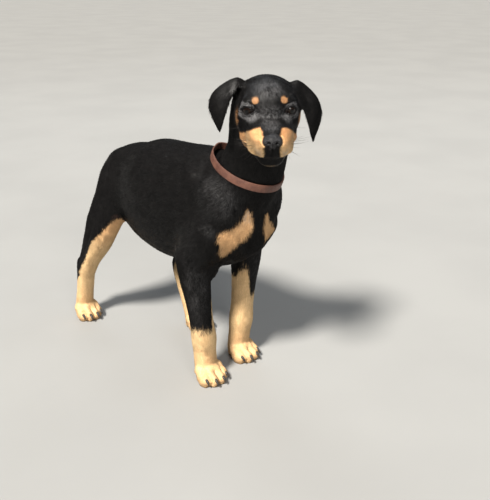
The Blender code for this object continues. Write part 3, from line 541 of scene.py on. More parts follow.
# thins the whole evenly, most where it is flat, and relaxes what is left
def thinnedSkin(mesh):
    obj = placed("thin", mesh)
    obj.modifiers.new("thin", "DECIMATE").ratio = skinShape["keep"]
    made = bakedMesh(obj)
    points = pointsOf(made)
    setPoints(made, relaxed(points, edgesOf(made), fieldsAt(points)[0]["relax"] * 0.5, 3))
    print("skin thinned:", len(made.vertices), len(made.polygons))
    return made


# splits the triangles whose corners are all marked into four, and relaxes what was split
def refined(mesh, marked):
    bm = bmesh.new()
    bm.from_mesh(mesh)
    bmesh.ops.triangulate(bm, faces=bm.faces)
    bm.to_mesh(mesh)
    ends = edgesOf(mesh)
    chosen = marked[ends[:, 0]] & marked[ends[:, 1]]
    edges = list(itertools.compress(bm.edges, chosen))
    bmesh.ops.subdivide_edges(bm, edges=edges, cuts=1, use_grid_fill=True)
    bmesh.ops.triangulate(bm, faces=bm.faces)
    bm.to_mesh(mesh)
    bm.free()
    points, edges = pointsOf(mesh), edgesOf(mesh)
    fresh = np.zeros(len(points))
    fresh[len(marked):] = 1
    near = np.bincount(edges.ravel(), fresh[edges[:, ::-1].ravel()], len(points)) > 2
    points = relaxed(points, edges, np.where(near | (fresh > 0), 0.5, 0.0), 3)
    setPoints(mesh, points)
    return points


# the toes' places across and ahead of a paw's middle, and the grooves between them
toes = ((-0.0168, 0.0125), (-0.0064, 0.0205), (0.0064, 0.0205), (0.0168, 0.0125))
toeShape = {"turn": 4, "narrow": {"fore": 1.0, "hind": 0.92},
            "depth": 0.0017, "width": 0.0013, "outer": 0.0118}


# each paw's limb, side, middle, angle outwards and how narrow it is
def pawPlaces():
    for tag, sign in sides:
        for limb, joints in (("fore", foreJoints), ("hind", hindJoints)):
            foot = np.array(joints[tag][3]) * (sign, 1, 1)
            yield limb, tag, foot, math.radians(toeShape["turn"] * sign), toeShape["narrow"][limb]


eyeOpening = {"half": 0.0070, "top": 0.0056, "bottom": 0.0041, "rise": -0.0003, "outward": 20, "lid": 0.0015}
mouth = {"start": 0.014, "height": -0.0352, "sag": 0.0012, "peak": 0.0018, "turn": 113,
         "depth": 0.0020, "half": 0.00055}


# a point seen from the eyeball: outwards across the face, up, and ahead along the eye's own axis,
# with its share of the almond opening: 0 in the middle, 1 on the lid's edge
def eyePlaces(h, sign):
    v = eyeOpening
    turn = math.radians(v["outward"])
    rel = h - np.array((sign * eyeApart / 2, eyeAhead, 0))
    across = (rel[:, 0] * sign * math.cos(turn) - rel[:, 1] * math.sin(turn))
    ahead = (rel[:, 0] * sign * math.sin(turn) + rel[:, 1] * math.cos(turn))
    up = rel[:, 2] - v["rise"] * across / v["half"]
    share = np.hypot(across / v["half"], up / np.where(up > 0, v["top"], v["bottom"]))
    return across, up, ahead, share


def fromEye(across, up, ahead, sign):
    v = eyeOpening
    turn = math.radians(v["outward"])
    rows = np.stack([sign * (eyeApart / 2 + across * math.cos(turn) + ahead * math.sin(turn)),
                     eyeAhead - across * math.sin(turn) + ahead * math.cos(turn),
                     up + v["rise"] * across / v["half"]], axis=-1)
    return fromHead(rows)


# height over the line between the lips, and how far round the muzzle: 0 in front, 1 at the corner
def mouthPlaces(h):
    v = mouth
    turn = np.abs(np.arctan2(h[:, 0], h[:, 1] - v["start"])) / math.radians(v["turn"])
    line = v["height"] - v["sag"] * turn ** 2 + v["peak"] * hump(turn, 0.10)
    return h[:, 2] - line, turn


noseForms = [((0, 0.0590, -0.0132), (0.0095, 0.0082, 0.0069)),
             ((0, 0.0588, -0.0184), (0.0054, 0.0074, 0.0054))]
noseForms += [((sign * 0.0066, 0.0580, -0.0148), (0.0052, 0.0078, 0.0058)) for tag, sign in sides]
noseMiddle = np.array((0, 0.0575, -0.0152))


# how far the nose reaches from its middle along each direction: the soft largest of its ellipsoids' far walls
def noseReach(ways):
    reaches = []
    for centre, radii in noseForms:
        d = ways / np.array(radii)
        o = (noseMiddle - np.array(centre)) / np.array(radii)
        a, b, c = (d * d).sum(-1), (d * o).sum(-1), (o * o).sum(-1) - 1
        reaches.append((-b + np.sqrt(np.maximum(b * b - a * c, 0))) / a)
    soft = 0.0005
    return soft * np.log(sum(np.exp(r / soft) for r in reaches)) - soft * 0.6


# how far each point is from the nose's leather, negative inside it
def overNose(h):
    away = h - noseMiddle
    return np.linalg.norm(away, axis=1) - noseReach(unit(away))


# (across, ahead, up) of the middle, half widths, and how far the skin stands out there, mirrored: over the
# eye, the upper lip, the cheek, between eye and muzzle, under the eye, and the chin
faceForms = (
    ((0.0175, 0.0080, 0.0145), (0.0085, 0.012, 0.0050), 0.0006),
    ((0.0200, 0.0330, -0.0270), (0.0080, 0.016, 0.0070), 0.0010),
    ((0.0330, -0.0180, -0.0150), (0.0120, 0.020, 0.0120), 0.0008),
    ((0.0120, 0.0100, -0.0040), (0.0045, 0.009, 0.0040), -0.0007),
    ((0.0290, 0.0060, -0.0120), (0.0080, 0.010, 0.0030), -0.0004),
    ((0.0060, 0.0520, -0.0430), (0.0080, 0.012, 0.0060), 0.0007),
)
# fine lines of the face, each with its depth and its width: the furrow of the forehead, the groove under the
# nose, the rolled edge over the lips with its height over them, the fall of the lower lip, and the folds
# over and under the eye with their distance from its middle
faceLines = {"furrow": (0.0003, 0.0030), "groove": (0.0010, 0.0007), "roll": (0.0007, 0.0014, 0.0020),
             "lower": 0.0005, "overEye": (0.00032, 0.13, 1.75), "underEye": (0.00028, 0.12, 1.70)}


def faceRise(h):
    v = faceLines
    rise = sum(bell(folded(h), place, widths) * height for place, widths, height in faceForms)
    depth, width = v["furrow"]
    rise -= depth * hump(h[:, 0], width) * ramp(-0.010, 0.002, h[:, 2]) * ramp(-0.02, 0.0, h[:, 1])
    depth, width = v["groove"]
    middle = ramp(-0.036, -0.034, h[:, 2]) * ramp(-0.016, -0.020, h[:, 2])
    rise -= depth * hump(h[:, 0], width) * ramp(0.046, 0.054, h[:, 1]) * middle
    over, turn = mouthPlaces(h)
    lips = ramp(1.06, 0.96, turn) * ramp(0.0, 0.006, h[:, 1] + 0.03)
    height, width, up = v["roll"]
    rise -= mouth["depth"] * hump(over, mouth["half"]) * lips
    rise += height * hump(over - up, width) * lips
    rise -= v["lower"] * ramp(0.0, -0.001, over) * ramp(-0.008, -0.003, over) * lips
    for tag, sign in sides:
        across, up, ahead, share = eyePlaces(h, sign)
        lid = ramp(0.004, 0.006, ahead)
        for (depth, width, place), end in ((v["overEye"], 0.0015), (v["underEye"], -0.0015)):
            rise -= depth * hump(share - place, width) * ramp(0.0, end, up) * lid
    return rise * ramp(0.115, 0.100, np.linalg.norm(h - (0, 0.0, -0.015), axis=1))


def shapedSkin(mesh):
    points = pointsOf(mesh)
    for level in range(3):
        points = refined(mesh, maskFace(points, level))
        print("skin refined:", level, len(mesh.polygons))
    normals = normalsOf(mesh)
    sole = (points[:, 2] < 0.003) & (normals[:, 2] < -0.6)
    banded = hump((points - collarMiddle) @ collarAxis, 0.011)
    banded = banded * (np.linalg.norm(points - collarMiddle, axis=1) < 0.07)
    sunk = fieldsAt(points)[0]["depth"] + skinShape["swell"] - skinShape["underCollar"] * banded
    points = points - normals * sunk[:, None]
    points[:, 2] = np.where(sole, 0.0, np.maximum(points[:, 2], 0.0))
    points = socketed(points, edgesOf(mesh))
    setPoints(mesh, points)
    points = points + normalsOf(mesh) * (faceRise(toHead(points)) - toeGrooves(points))[:, None]
    setPoints(mesh, seated(points))
    print("skin shaped:", len(points))
    return mesh


# how far the skin is pressed in between the toes: three grooves that deepen towards the claws
def toeGrooves(points):
    v = toeShape
    d, pressed = toDog(points), np.zeros(len(points))
    for limb, tag, foot, turn, narrow in pawPlaces():
        left, back = d[:, 0] - foot[0], foot[1] - d[:, 1]
        x = (left * math.cos(turn) + back * math.sin(turn)) / narrow
        ahead = left * math.sin(turn) - back * math.cos(turn)
        groove = hump(x, v["width"]) * ramp(0.010, 0.021, ahead)
        groove += hump(np.abs(x) - v["outer"], v["width"]) * ramp(0.004, 0.015, ahead)
        near = ramp(0.034, 0.028, np.hypot(x, ahead - 0.008))
        near = near * ramp(0.026, 0.016, d[:, 2]) * ramp(0.001, 0.003, d[:, 2])
        pressed = np.maximum(pressed, groove * near)
    return v["depth"] * pressed


# draws the skin into lids: behind the ball inside the opening, an edge round it, a thickness outside it,
# and relaxes the skin between the lids and the face
def socketed(points, edges):
    h = toHead(points)
    blend = np.zeros(len(points))
    for tag, sign in sides:
        across, up, ahead, share = eyePlaces(h, sign)
        rho2 = across ** 2 + up ** 2
        ball = np.sqrt(np.maximum(eyeRadius ** 2 - rho2, 1e-9))
        lid = np.sqrt(np.maximum((eyeRadius + eyeOpening["lid"]) ** 2 - rho2, 1e-9))
        wanted = ball - 0.0016 + 0.0022 * ramp(0.94, 1.02, share)
        wanted = wanted + (lid - ball - 0.0006) * ramp(1.02, 1.28, share)
        near = ramp(1.75, 1.25, share) * ramp(-0.002, 0.001, ahead) * (rho2 < 0.014 ** 2)
        moved = toHead(fromEye(across, up, ahead + (wanted - ahead) * near, sign))
        h = np.where((near > 0)[:, None], moved, h)
        ring = ramp(1.20, 1.50, share) * ramp(3.3, 2.5, share)
        blend = np.maximum(blend, ring * ramp(-0.003, 0.002, ahead))
    return relaxed(fromHead(h), edges, blend * 0.5, 30)


# presses the skin in behind the nose leather
def seated(points):
    away = toHead(points) - noseMiddle
    far = np.linalg.norm(away, axis=1)
    reach = noseReach(unit(away))
    inside = ramp(0.0009, -0.0001, far - reach) * ramp(-0.007, -0.004, away[:, 1])
    far = far + (np.minimum(far, reach - 0.0048) - far) * inside
    return np.where((inside > 0)[:, None], fromHead(noseMiddle + unit(away) * far[:, None]), points)


# where the skin is refined: the whole head and the paws, then the face, then the lids, the lips and the nose
def maskFace(points, level):
    h = toHead(points)
    if level == 0:
        paws = toDog(points)[:, 2] < 0.046
        return paws | ((np.linalg.norm(h - (0, -0.015, -0.012), axis=1) < 0.088) & (h[:, 2] > -0.058))
    if level == 1:
        return (h[:, 1] > -0.010) & (np.abs(h[:, 0]) < 0.036) & (np.linalg.norm(h, axis=1) < 0.085)
    over, turn = mouthPlaces(h)
    marked = (np.abs(over) < 0.0022) & (turn < 1.04) & (h[:, 1] > -0.03) & (np.abs(h[:, 0]) < 0.04)
    for tag, sign in sides:
        ahead, share = eyePlaces(h, sign)[2:]
        marked |= (share < 2.0) & (ahead > 0)
    return marked | (np.abs(overNose(h)) < 0.0016)


# the markings' borders and places. face: the height of the tan's upper border along the head. bridge: half
# the width of the black along the muzzle's top, and lipWidth: the same under the nose. chest: the patch's
# outline, across and up. fore: the tan's height on the foreleg's outer side, how much higher it is on the
# inner side, where across the leg it rises, and how much higher it is in front. hind: how far ahead of the
# leg's axis the tan begins at each height. the others are places with their half widths
markShape = {
    "face": ((-0.050, -0.0220), (-0.035, -0.0175), (-0.020, -0.0195), (-0.008, -0.0270), (0.000, -0.0300),
             (0.0110, -0.0265), (0.020, -0.0210), (0.0299, -0.0155), (0.0355, -0.0112), (0.0385, -0.0072),
             (0.046, -0.0060)),
    "bridge": ((0.020, 0.024), (0.030, 0.0190), (0.035, 0.0158), (0.040, 0.0122), (0.046, 0.0102),
               (0.060, 0.0094)),
    "lipWidth": 0.0086, "brow": (0.0167, 0.0076, 0.0134), "browRadius": 0.0040,
    # the next two entries are places of painted sheen: on the forehead and bridge, then on the shoulders and
    # forelegs
    "paintedTopSheen": (((0, 0.002, 0.0280), (0.024, 0.020, 0.014)), ((0, 0.034, -0.0060), (0.010, 0.016, 0.009)),
              ((0, 0.015, 0.0005), (0.0185, 0.014, 0.0068))),
    "paintedSheenStreaks": (((0.046, 0.122, 0.286), (0.028, 0.034, 0.036)), ((0.064, 0.088, 0.150), (0.022, 0.018, 0.060))),
    "lipPale": ((0.0138, 0.0580, -0.0275), (0.0052, 0.0100, 0.0055)),
    "earDrop": 0.011, "chestDrop": 0.011, "paleTip": ((-0.0185, 0.2655), (0.0100, 0.0115)),
    "chest": [(-0.0174, 0.2706), (-0.0230, 0.2586), (-0.0320, 0.2518), (-0.0401, 0.2456), (-0.0476, 0.2399),
              (-0.0536, 0.2312), (-0.0487, 0.2150), (-0.0371, 0.2010), (-0.0332, 0.2122), (-0.0273, 0.2234),
              (-0.0187, 0.2329), (-0.0116, 0.2416), (-0.0091, 0.2536), (-0.0120, 0.2639)],
    "fore": {"right": (0.083, 0.044, 0.25, 0.68, 0.0), "left": (0.092, 0.045, -0.1, 0.8, 0.015)},
    "legHalf": 0.018,
    "hind": ((0.050, -0.030), (0.060, -0.020), (0.083, 0.002), (0.109, -0.001), (0.135, -0.004),
             (0.158, -0.0037), (0.171, 0.0016), (0.185, 0.013), (0.196, 0.021), (0.201, 0.025),
             (0.215, 0.060)),
    "rump": ((0, -0.172, 0.206), (0.017, 0.022, 0.016)), "belly": ((0, -0.080, 0.160), (0.030, 0.060, 0.018)),
    "fold": ((0.060, -0.093, 0.2035), (0.013, 0.026, 0.0065))}
# how strong the fainter markings are and the painted sheen. under the jaw and on the chin the tan is weakened
# as painted shade
markStrength = {"strip": 0.9, "under": 0.60, "brow": 0.52, "chin": 0.35, "paintedTopSheen": 0.60, "lipPale": 0.75,
                "paintedSheenStreaks": 0.24, "rump": 0.8}


# how far a point is from a leg's axis at its own height: towards the other leg, ahead, and in all
def legPlaces(d, joints, sign):
    rows = (np.array(joints) * (sign, 1, 1))[::-1]
    inward = (np.interp(d[:, 2], rows[:, 2], rows[:, 0]) - d[:, 0]) * sign
    ahead = d[:, 1] - np.interp(d[:, 2], rows[:, 2], rows[:, 1])
    return inward, ahead, np.hypot(inward, ahead)


# the tan of the face: muzzle and cheeks, a strip before the ear, the throat, the brows and the chin
def faceTan(h, fray, shares, brow):
    v, strength = markShape, markStrength
    x, y, z = np.abs(h[:, 0]), h[:, 1], h[:, 2]
    border = np.interp(y, *zip(*v["face"]))
    inner = v["lipWidth"] + (np.interp(y, *zip(*v["bridge"])) - v["lipWidth"]) * ramp(-0.029, -0.020, z)
    flank = ramp(-0.0012, 0.0012, border - z + fray) * ramp(-0.0010, 0.0012, x - inner + fray)
    flank = flank * ramp(-0.050, -0.036, y + 4 * fray)
    low = z + v["earDrop"] * (h[:, 0] > 0)   # the left ear hangs lower over the cheek
    strip = ramp(0.0350, 0.0370, x + fray) * ramp(-0.038, -0.030, z) * ramp(0.004, -0.003, low)
    strip = strip * ramp(-0.032, -0.024, y)
    # painted shade: under the jaw the tan is weakened towards black
    under = strength["under"] * ramp(-0.040, -0.044, z) * ramp(-0.018, 0.004, y)
    under = under * ramp(0.046, 0.040, y) * ramp(0.014, 0.009, x)
    tan = np.maximum.reduce([flank, strip * strength["strip"], under]) * ramp(-0.064, -0.052, z)
    tan = np.maximum(tan * (1 - ramp(0.35, 0.75, shares["neck"])), strength["brow"] * brow)
    black = ramp(0.0004, -0.0008, mouthPlaces(h)[0] + fray) * ramp(0.012, 0.026, y + 3 * fray)
    # painted shade: on the chin the tan is faint
    chin = strength["chin"] * ramp(-0.0475, -0.0500, z) * ramp(0.0, 0.012, y)
    tan = np.maximum(tan * (1 - black), chin)
    return tan * (1 - ramp(0.05, 0.2, shares["ear_right"] + shares["ear_left"])) * ramp(0.0430, 0.0412, x)


# the grey of the face: round the eyes, painted sheen on forehead and bridge, and pale hair on the tan of the
# lip
def faceGreyAndSheen(h, tan, brow):
    v, strength = markShape, markStrength
    greyAndSheen = np.zeros(len(h))
    for tag, sign in sides:
        across, up, ahead, share = eyePlaces(h, sign)
        over = ramp(1.85, 1.50, share) * ramp(-0.001, 0.001, up)
        under = ramp(2.9, 2.1, share) * ramp(0.001, -0.001, up)
        greyAndSheen = np.maximum(greyAndSheen, ramp(1.10, 1.22, share) * np.maximum(over, under) * ramp(0, 0.003, ahead))
    # painted sheen: grey on the forehead and the bridge, where the light catches the hair
    top = np.maximum.reduce([bell(h, *place) for place in v["paintedTopSheen"]])
    greyAndSheen = np.maximum(greyAndSheen, strength["paintedTopSheen"] * ramp(0.10, 0.8, top)) * (1 - brow)
    return greyAndSheen, strength["lipPale"] * ramp(0.15, 0.9, bell(folded(h), *v["lipPale"])) * tan


# the tan of the legs: up the inner side of a foreleg, and all of a hind leg ahead of its border
def legTan(d, fray, trunk):
    v, legs = markShape, np.zeros(len(d))
    z = d[:, 2]
    for tag, sign in sides:
        inward, ahead, away = legPlaces(d, foreJoints[tag], sign)
        outer, inner, low, high, front = v["fore"][tag]
        border = outer + inner * ramp(low, high, inward / v["legHalf"])
        border = border + front * ramp(0, 0.8, ahead / v["legHalf"])
        legs = np.maximum(legs, ramp(-0.003, 0.003, border - z + 4 * fray) * ramp(0.050, 0.042, away))
        inward, ahead, away = legPlaces(d, hindJoints[tag], sign)
        front = ahead - np.interp(z, *zip(*v["hind"])) + 2 * fray
        front = np.maximum(front, inward - 0.012 - 0.05 * ramp(0.185, 0.200, z))
        hind = ramp(-0.0018, 0.0018, front) * ramp(0.072, 0.060, away) * ramp(0.222, 0.208, z)
        hind = hind * ramp(0.62, 0.40, trunk - 60 * fray)
        if sign > 0:                         # on the left leg the tan ends lower on the outer side
            hind = hind * ramp(0.198, 0.176, z - 0.05 * ramp(0.004, 0.016, inward))
        legs = np.maximum(legs, hind)
    return legs


# where the hair is tan and which tan it is, where it is grey, and where the skin is nearly bare, from 0 to 1.
# the grey also holds painted sheen: streaks where the light catches the hair on the shoulders and forelegs.
# each border is a height or an outline in the head's or the dog's axes, frayed by noise
def markingsAt(points, stray=0.0):
    v, strength = markShape, markStrength
    h, d = toHead(points), toDog(points)
    shares = fieldsAt(points)[3]
    fray = 0.0010 * softNoise(points, 0.0045, 3) + 0.0005 * softNoise(points, 0.0018, 4) + stray * 0.0009
    inHead = ramp(0.103, 0.096, np.linalg.norm(h - (0, -0.010, -0.012), axis=1))
    inHead = inHead * ramp(-0.070, -0.062, h[:, 2])
    brow = np.linalg.norm(folded(h) - v["brow"], axis=1) - v["browRadius"] + 0.8 * fray
    brow = ramp(0.0008, -0.0008, brow)
    tan = faceTan(h, fray, shares, brow) * inHead
    greyAndSheen, pale = faceGreyAndSheen(h, tan, brow)
    lowered = d[:, 2] + v["chestDrop"] * (d[:, 0] > 0)   # the patch sits lower on the left
    chest = insideOutline(-np.abs(d[:, 0]), lowered, v["chest"]) + 2.2 * fray
    chest = ramp(-0.0024, 0.0020, chest) * ramp(0.082, 0.092, d[:, 1]) * (1 - inHead)
    tip = chest * bell(d[:, ::2], *v["paleTip"])
    # painted sheen: grey streaks on the shoulders and forelegs, where the light catches the hair
    paintedSheenStreaks = np.maximum.reduce([bell(folded(d), *place) for place in v["paintedSheenStreaks"]])
    streaks = 0.4 + 0.6 * ramp(-0.6, 0.6, softNoise(points, 0.0020, 41))
    paintedSheenStreaks = strength["paintedSheenStreaks"] * ramp(0.10, 0.9, paintedSheenStreaks) * streaks * (1 - inHead)
    greyAndSheen = np.maximum.reduce([greyAndSheen * inHead, pale, tip, paintedSheenStreaks])
    rump = strength["rump"] * ramp(0.36, 0.55, bell(folded(d), *v["rump"]))
    legs = np.maximum(legTan(d, fray, shares["trunk"]), rump) * (1 - inHead)
    bare = np.maximum(ramp(0.30, 0.75, bell(folded(d), *v["fold"])),
                      ramp(0.25, 0.7, bell(folded(d), *v["belly"])))
    z = d[:, 2]
    # the tan is oranger and darker low on the legs, towards the paws
    tone = 0.45 * ramp(0.30, 0.27, z) + 0.55 * ramp(0.19, 0.13, z) - 0.30 * ramp(0.065, 0.030, z)
    tone = np.clip(tone, 0, 1) * (1 - inHead)
    tone += 0.90 * ramp(0.004, 0.036, h[:, 1]) * ramp(-0.006, -0.026, h[:, 2]) * inHead
    return {"tan": np.maximum.reduce([tan, chest, legs]), "tone": tone, "greyAndSheen": greyAndSheen, "bare": bare}


# dark, tan and grey hair, the grey also used as painted sheen; a pair runs from the darkest lock to the
# lightest, and sheen is the specular level
hairColours = {
    "root": (0.0022, 0.0021, 0.0021), "tip": (0.0125, 0.0119, 0.0120), "rust": (0.0170, 0.0115, 0.0088),
    "orange": ((0.360, 0.165, 0.062), (0.760, 0.410, 0.190)),
    "gold": ((0.500, 0.310, 0.145), (0.900, 0.665, 0.375)),
    "greyAndSheen": (0.185, 0.182, 0.186), "pale": (0.420, 0.370, 0.320), "speck": (0.006, 0.005, 0.005),
    "bareSkin": (0.30, 0.150, 0.115), "leather": (0.007, 0.0065, 0.007), "sheen": 0.14}


# colour from the shares of the markings, darker at the root than at the tip and different from lock to lock
def hairTone(paint, tip, shade):
    c = hairColours
    dark = paint.mixed(tip * shade.fade(0.25, 0.80, 0.08, 1.0), c["root"], c["tip"])
    dark = paint.mixed(shade.fade(0.72, 1.0) * tip * 0.7, dark, c["rust"])
    light = shade * 0.55 + tip * 0.45
    orange = paint.mixed(light, *c["orange"])
    gold = paint.mixed(light, *c["gold"])
    tone = paint.mixed(paint.value("tan"), dark, paint.mixed(paint.value("tone"), orange, gold))
    greyAndSheen = paint.mixed(paint.value("tan"), c["greyAndSheen"], c["pale"])
    return paint.mixed(paint.value("greyAndSheen") * shade.fade(0.25, 0.6) * tip.fade(0.1, 0.7), tone, greyAndSheen)


def coatFinish():
    paint = Paint("coatHair")
    tip, shade = paint.value("tip"), paint.value("shade")
    grain = paint.noise(2600.0, 2.0)
    tone = paint.mixed(grain.fade(0.35, 0.65, 0.25, 0.0), hairTone(paint, tip, shade), hairColours["speck"])
    return paint.finish({"Base Color": tone, "Roughness": shade.fade(0.2, 0.8, 0.50, 0.32),
                         "Specular IOR Level": hairColours["sheen"]})


# the skin under the hair: fine strokes along the coat in the same colours, pink where it is nearly bare
def skinFinish():
    paint = Paint("coatSkin")
    strokes = paint.value("strokes", "Vector")
    fine = paint.noise(1900.0, 3.0, 0.6, strokes)
    broad = paint.noise(420.0, 3.0, 0.6, strokes)
    tone = hairTone(paint, fine.fade(0.38, 0.66), broad.fade(0.3, 0.7))
    tone = paint.mixed(paint.value("bare") * 0.75, tone, hairColours["bareSkin"])
    tone = paint.mixed(paint.value("leather"), tone, hairColours["leather"])
    return paint.finish({"Base Color": tone, "Roughness": fine.fade(0.3, 0.7, 0.48, 0.64),
                         "Normal": paint.bump(fine * 0.65 + broad * 0.35, 0.0007, 0.8),
                         "Specular IOR Level": hairColours["sheen"]})


# naked dark skin: the lips' edges, the lids, the pads under the feet and the ring that the nose sits in
def leatherAt(points):
    h = toHead(points)
    over, turn = mouthPlaces(h)
    lips = ramp(0.0016, 0.0008, np.abs(over)) * ramp(1.04, 0.98, turn)
    lips = lips * ramp(-0.03, -0.02, h[:, 1]) * (h[:, 2] > -0.05)
    bare = [lips, ramp(0.0012, 0.0002, overNose(h)) * (h[:, 1] > 0.045), ramp(0.0035, 0.0015, points[:, 2])]
    for tag, sign in sides:
        ahead, share = eyePlaces(h, sign)[2:]
        bare.append(ramp(1.30, 1.16, share) * (ahead > 0.002))
    return np.maximum.reduce(bare)


def dressSkin(mesh):
    points = pointsOf(mesh)
    for name, values in markingsAt(points).items():
        setValues(mesh, name, values)
    setValues(mesh, "leather", leatherAt(points))
    setValues(mesh, "strokes", fieldsAt(points)[4], "FLOAT_VECTOR")


# the coat: thin closed locks, each with two root corners, a ridge and a tip. angles are in degrees
coatShape = {"locks": 330000, "sunk": 0.0004, "lift": 6.5, "liftMore": 6.5, "ridge": 0.38, "ridgeUp": 0.00010,
             "patch": 0.0015, "sway": 0.20, "scatter": 16, "spread": 0.55, "seed": 7}


# which way the hair lies: along the bones, away from the nose on the head, drooping on flanks and chest,
# laid in the surface and turned by soft noise, less on the ears
def coatLie(points, normals):
    fields, flow, label, shares = fieldsAt(points)[:4]
    head = (shares["head"] + shares["jaw"])[:, None]
    away = unit(points - fromHead([(0, 0.075, -0.012)])[0])
    lie = unit(flow) * (1 - head) + away * head
    droop = 0.55 * np.abs(normals[:, 0]) * shares["trunk"]
    droop += 1.3 * ramp(0.2, 0.8, -normals[:, 1]) * (shares["trunk"] + shares["neck"])
    lie[:, 2] -= droop
    lie = unit(lie - normals * (lie * normals).sum(1, keepdims=True))
    turn = np.radians(15 * softNoise(points, 0.013, 11) + 13 * softNoise(points, 0.0045, 12))
    turn = turn * (1 - 0.6 * (shares["ear_right"] + shares["ear_left"]))
    return fields, label, turned(lie, normals, turn)


def turned(ways, normals, turn):         # directions turned in the surface
    turn = turn[:, None]
    return ways * np.cos(turn) + np.cross(normals, ways) * np.sin(turn)


# where no hair grows: under the paws, in the eyes' openings, on the nose and on the lips' edges.
# hair is shorter beside the lips and the brows
def bareOrShort(points, normals):
    h = toHead(points)
    closed = (points[:, 2] < 0.0022) & (normals[:, 2] < -0.3)
    for tag, sign in sides:
        ahead, share = eyePlaces(h, sign)[2:]
        closed |= (share < 1.13) & (ahead > 0.003)
    closed |= (overNose(h) < 0.0001) & (h[:, 1] > 0.045)
    over, turn = mouthPlaces(h)
    lips = (turn < 1.0) & (h[:, 1] > -0.025) & (h[:, 2] > -0.05)
    closed |= (np.abs(over) < 0.0011) & lips
    brow = np.linalg.norm(folded(h) - markShape["brow"], axis=1)
    short = 1 - 0.4 * ramp(0.0045, 0.0020, np.abs(over)) * lips
    return closed, short, 1 - 0.4 * ramp(0.0085, 0.0050, brow)


# roots spread over the skin's triangles in step with area times density, each at a random place in its own
def coatRoots(mesh):
    points, normals = pointsOf(mesh), normalsOf(mesh)
    mesh.calc_loop_triangles()
    faces = readArray(mesh.loop_triangles, "vertices", 3, np.int32)
    fields, label, lie = coatLie(points, normals)
    closed, *short = bareOrShort(points, normals)
    for share in short:
        fields["length"] *= share
    corner = [points[faces[:, k]] for k in range(3)]
    area = np.linalg.norm(np.cross(corner[1] - corner[0], corner[2] - corner[0]), axis=1) / 2
    weight = area * fields["density"][faces].mean(axis=1) * ~closed[faces].any(axis=1)
    draw = np.random.default_rng(coatShape["seed"])
    total = np.cumsum(weight)
    count = coatShape["locks"]
    spots = (np.arange(count) + draw.random(count)) / count * total[-1]
    chosen = faces[np.minimum(np.searchsorted(total, spots), len(faces) - 1)]
    a, b = np.sqrt(draw.random(count)), draw.random(count)
    share = np.stack([1 - a, a * (1 - b), a * b], axis=1)[:, :, None]
    print("coat area mm2 and locks:", round(area.sum() * 1e6), count)

    def blended(values):
        return (values[chosen] * share).sum(axis=1)

    even = ramp(0.60, 0.97, np.linalg.norm(blended(normals), axis=1))   # low on a sharp edge, as an ear's rim
    return {"root": blended(points), "normal": unit(blended(normals)), "lie": blended(lie), "even": even,
            "length": blended(fields["length"][:, None])[:, 0] * (0.34 + 0.66 * even),
            "width": blended(fields["width"][:, None])[:, 0],
            "label": label[chosen[:, 0]], "random": draw.random((count, 6))}


# root corners half a width to either side and sunk in the skin, a ridge part way, and a tip that lies lower.
# the normals lean sideways at the root corners and sway with soft noise, so that the sheen varies
def lockPoints(c):
    v = coatShape
    random, n = c["random"], c["normal"]
    lie = unit(c["lie"] - n * (c["lie"] * n).sum(1, keepdims=True))
    lie = turned(lie, n, np.radians(v["scatter"] * (random[:, 0] - 0.5)))
    side = np.cross(lie, n)
    length = (c["length"] * (0.75 + 0.5 * random[:, 1]))[:, None]
    width = (c["width"] * (0.75 + 0.5 * random[:, 2]))[:, None]
    rise = np.radians((v["lift"] + v["liftMore"] * random[:, 3]) * (0.4 + 0.6 * c["even"]))[:, None]
    base = c["root"] - n * v["sunk"]
    ridge = length * v["ridge"]
    ridge = base + lie * ridge + n * (v["sunk"] + ridge * np.tan(rise) * 1.5 + v["ridgeUp"])
    tip = base + lie * length * np.cos(rise) + n * (v["sunk"] + length * np.sin(rise) * 0.95)
    points = np.stack([base - side * width / 2, base + side * width / 2, ridge, tip], axis=1)
    points[:, :, 2] = np.maximum(points[:, :, 2], 0.00005)
    sway = [v["sway"] * share * softNoise(c["root"], size, seed)[:, None]
            for size, seed, share in ((0.0045, 31, 1), (0.0060, 32, 1), (0.0170, 33, 0.4))]
    lean = n + (0.22 * (random[:, 4:5] - 0.5) + sway[0]) * side
    lean = lean + (0.22 * (random[:, 5:6] - 0.5) + sway[1] + sway[2]) * lie
    normals = [lean - side * v["spread"], lean + side * v["spread"], lean, lean + lie * 0.25]
    return points, unit(np.stack(normals, axis=1))


# the skin unrolled round a run of bone: how far round it and how far along it, each from 0 to 1.
# an ear is laid flat instead, with its inner face beside its outer one
def unrolled(points, normals, name):
    path = paths[name]
    spans = path[1:] - path[:-1]
    lengths = np.linalg.norm(spans, axis=1)
    starts = np.concatenate([[0], np.cumsum(lengths)])[:-1]
    best, along = np.full(len(points), 1e9), np.zeros(len(points))
    off, way = np.zeros((len(points), 3)), np.zeros((len(points), 3))
    for place, span, length, start in zip(path, spans, lengths, starts):
        t = (points - place) @ span / length ** 2
        offset = points - place - np.clip(t, 0, 1)[:, None] * span
        distance = np.linalg.norm(offset, axis=1)
        nearer = distance < best
        best = np.where(nearer, distance, best)
        along = np.where(nearer, start + t * length, along)
        off = np.where(nearer[:, None], offset, off)
        way = np.where(nearer[:, None], span / length, way)
    if name.startswith("ear"):
        across = toHead(points)[:, 0]
        outer = toHead(points + normals)[:, 0] * np.sign(across) > np.abs(across)
        around = squeezed(off @ headTurn @ (0, -1.0, 0)) * 0.48 + np.where(outer, 0.0, 0.51)
    else:
        lengthwise = name in ("trunk", "head", "jaw")
        first = unit(np.cross(way, (0.13, 0.21, 1.0) if lengthwise else (0.1, 1.0, 0.2)))
        second = np.cross(way, first)
        around = np.arctan2((off * second).sum(1), (off * first).sum(1)) / (2 * np.pi) + 0.5
    return around, squeezed(along)


def squeezed(values):
    low, high = values.min(), values.max()
    return (values - low) / max(high - low, 1e-9)


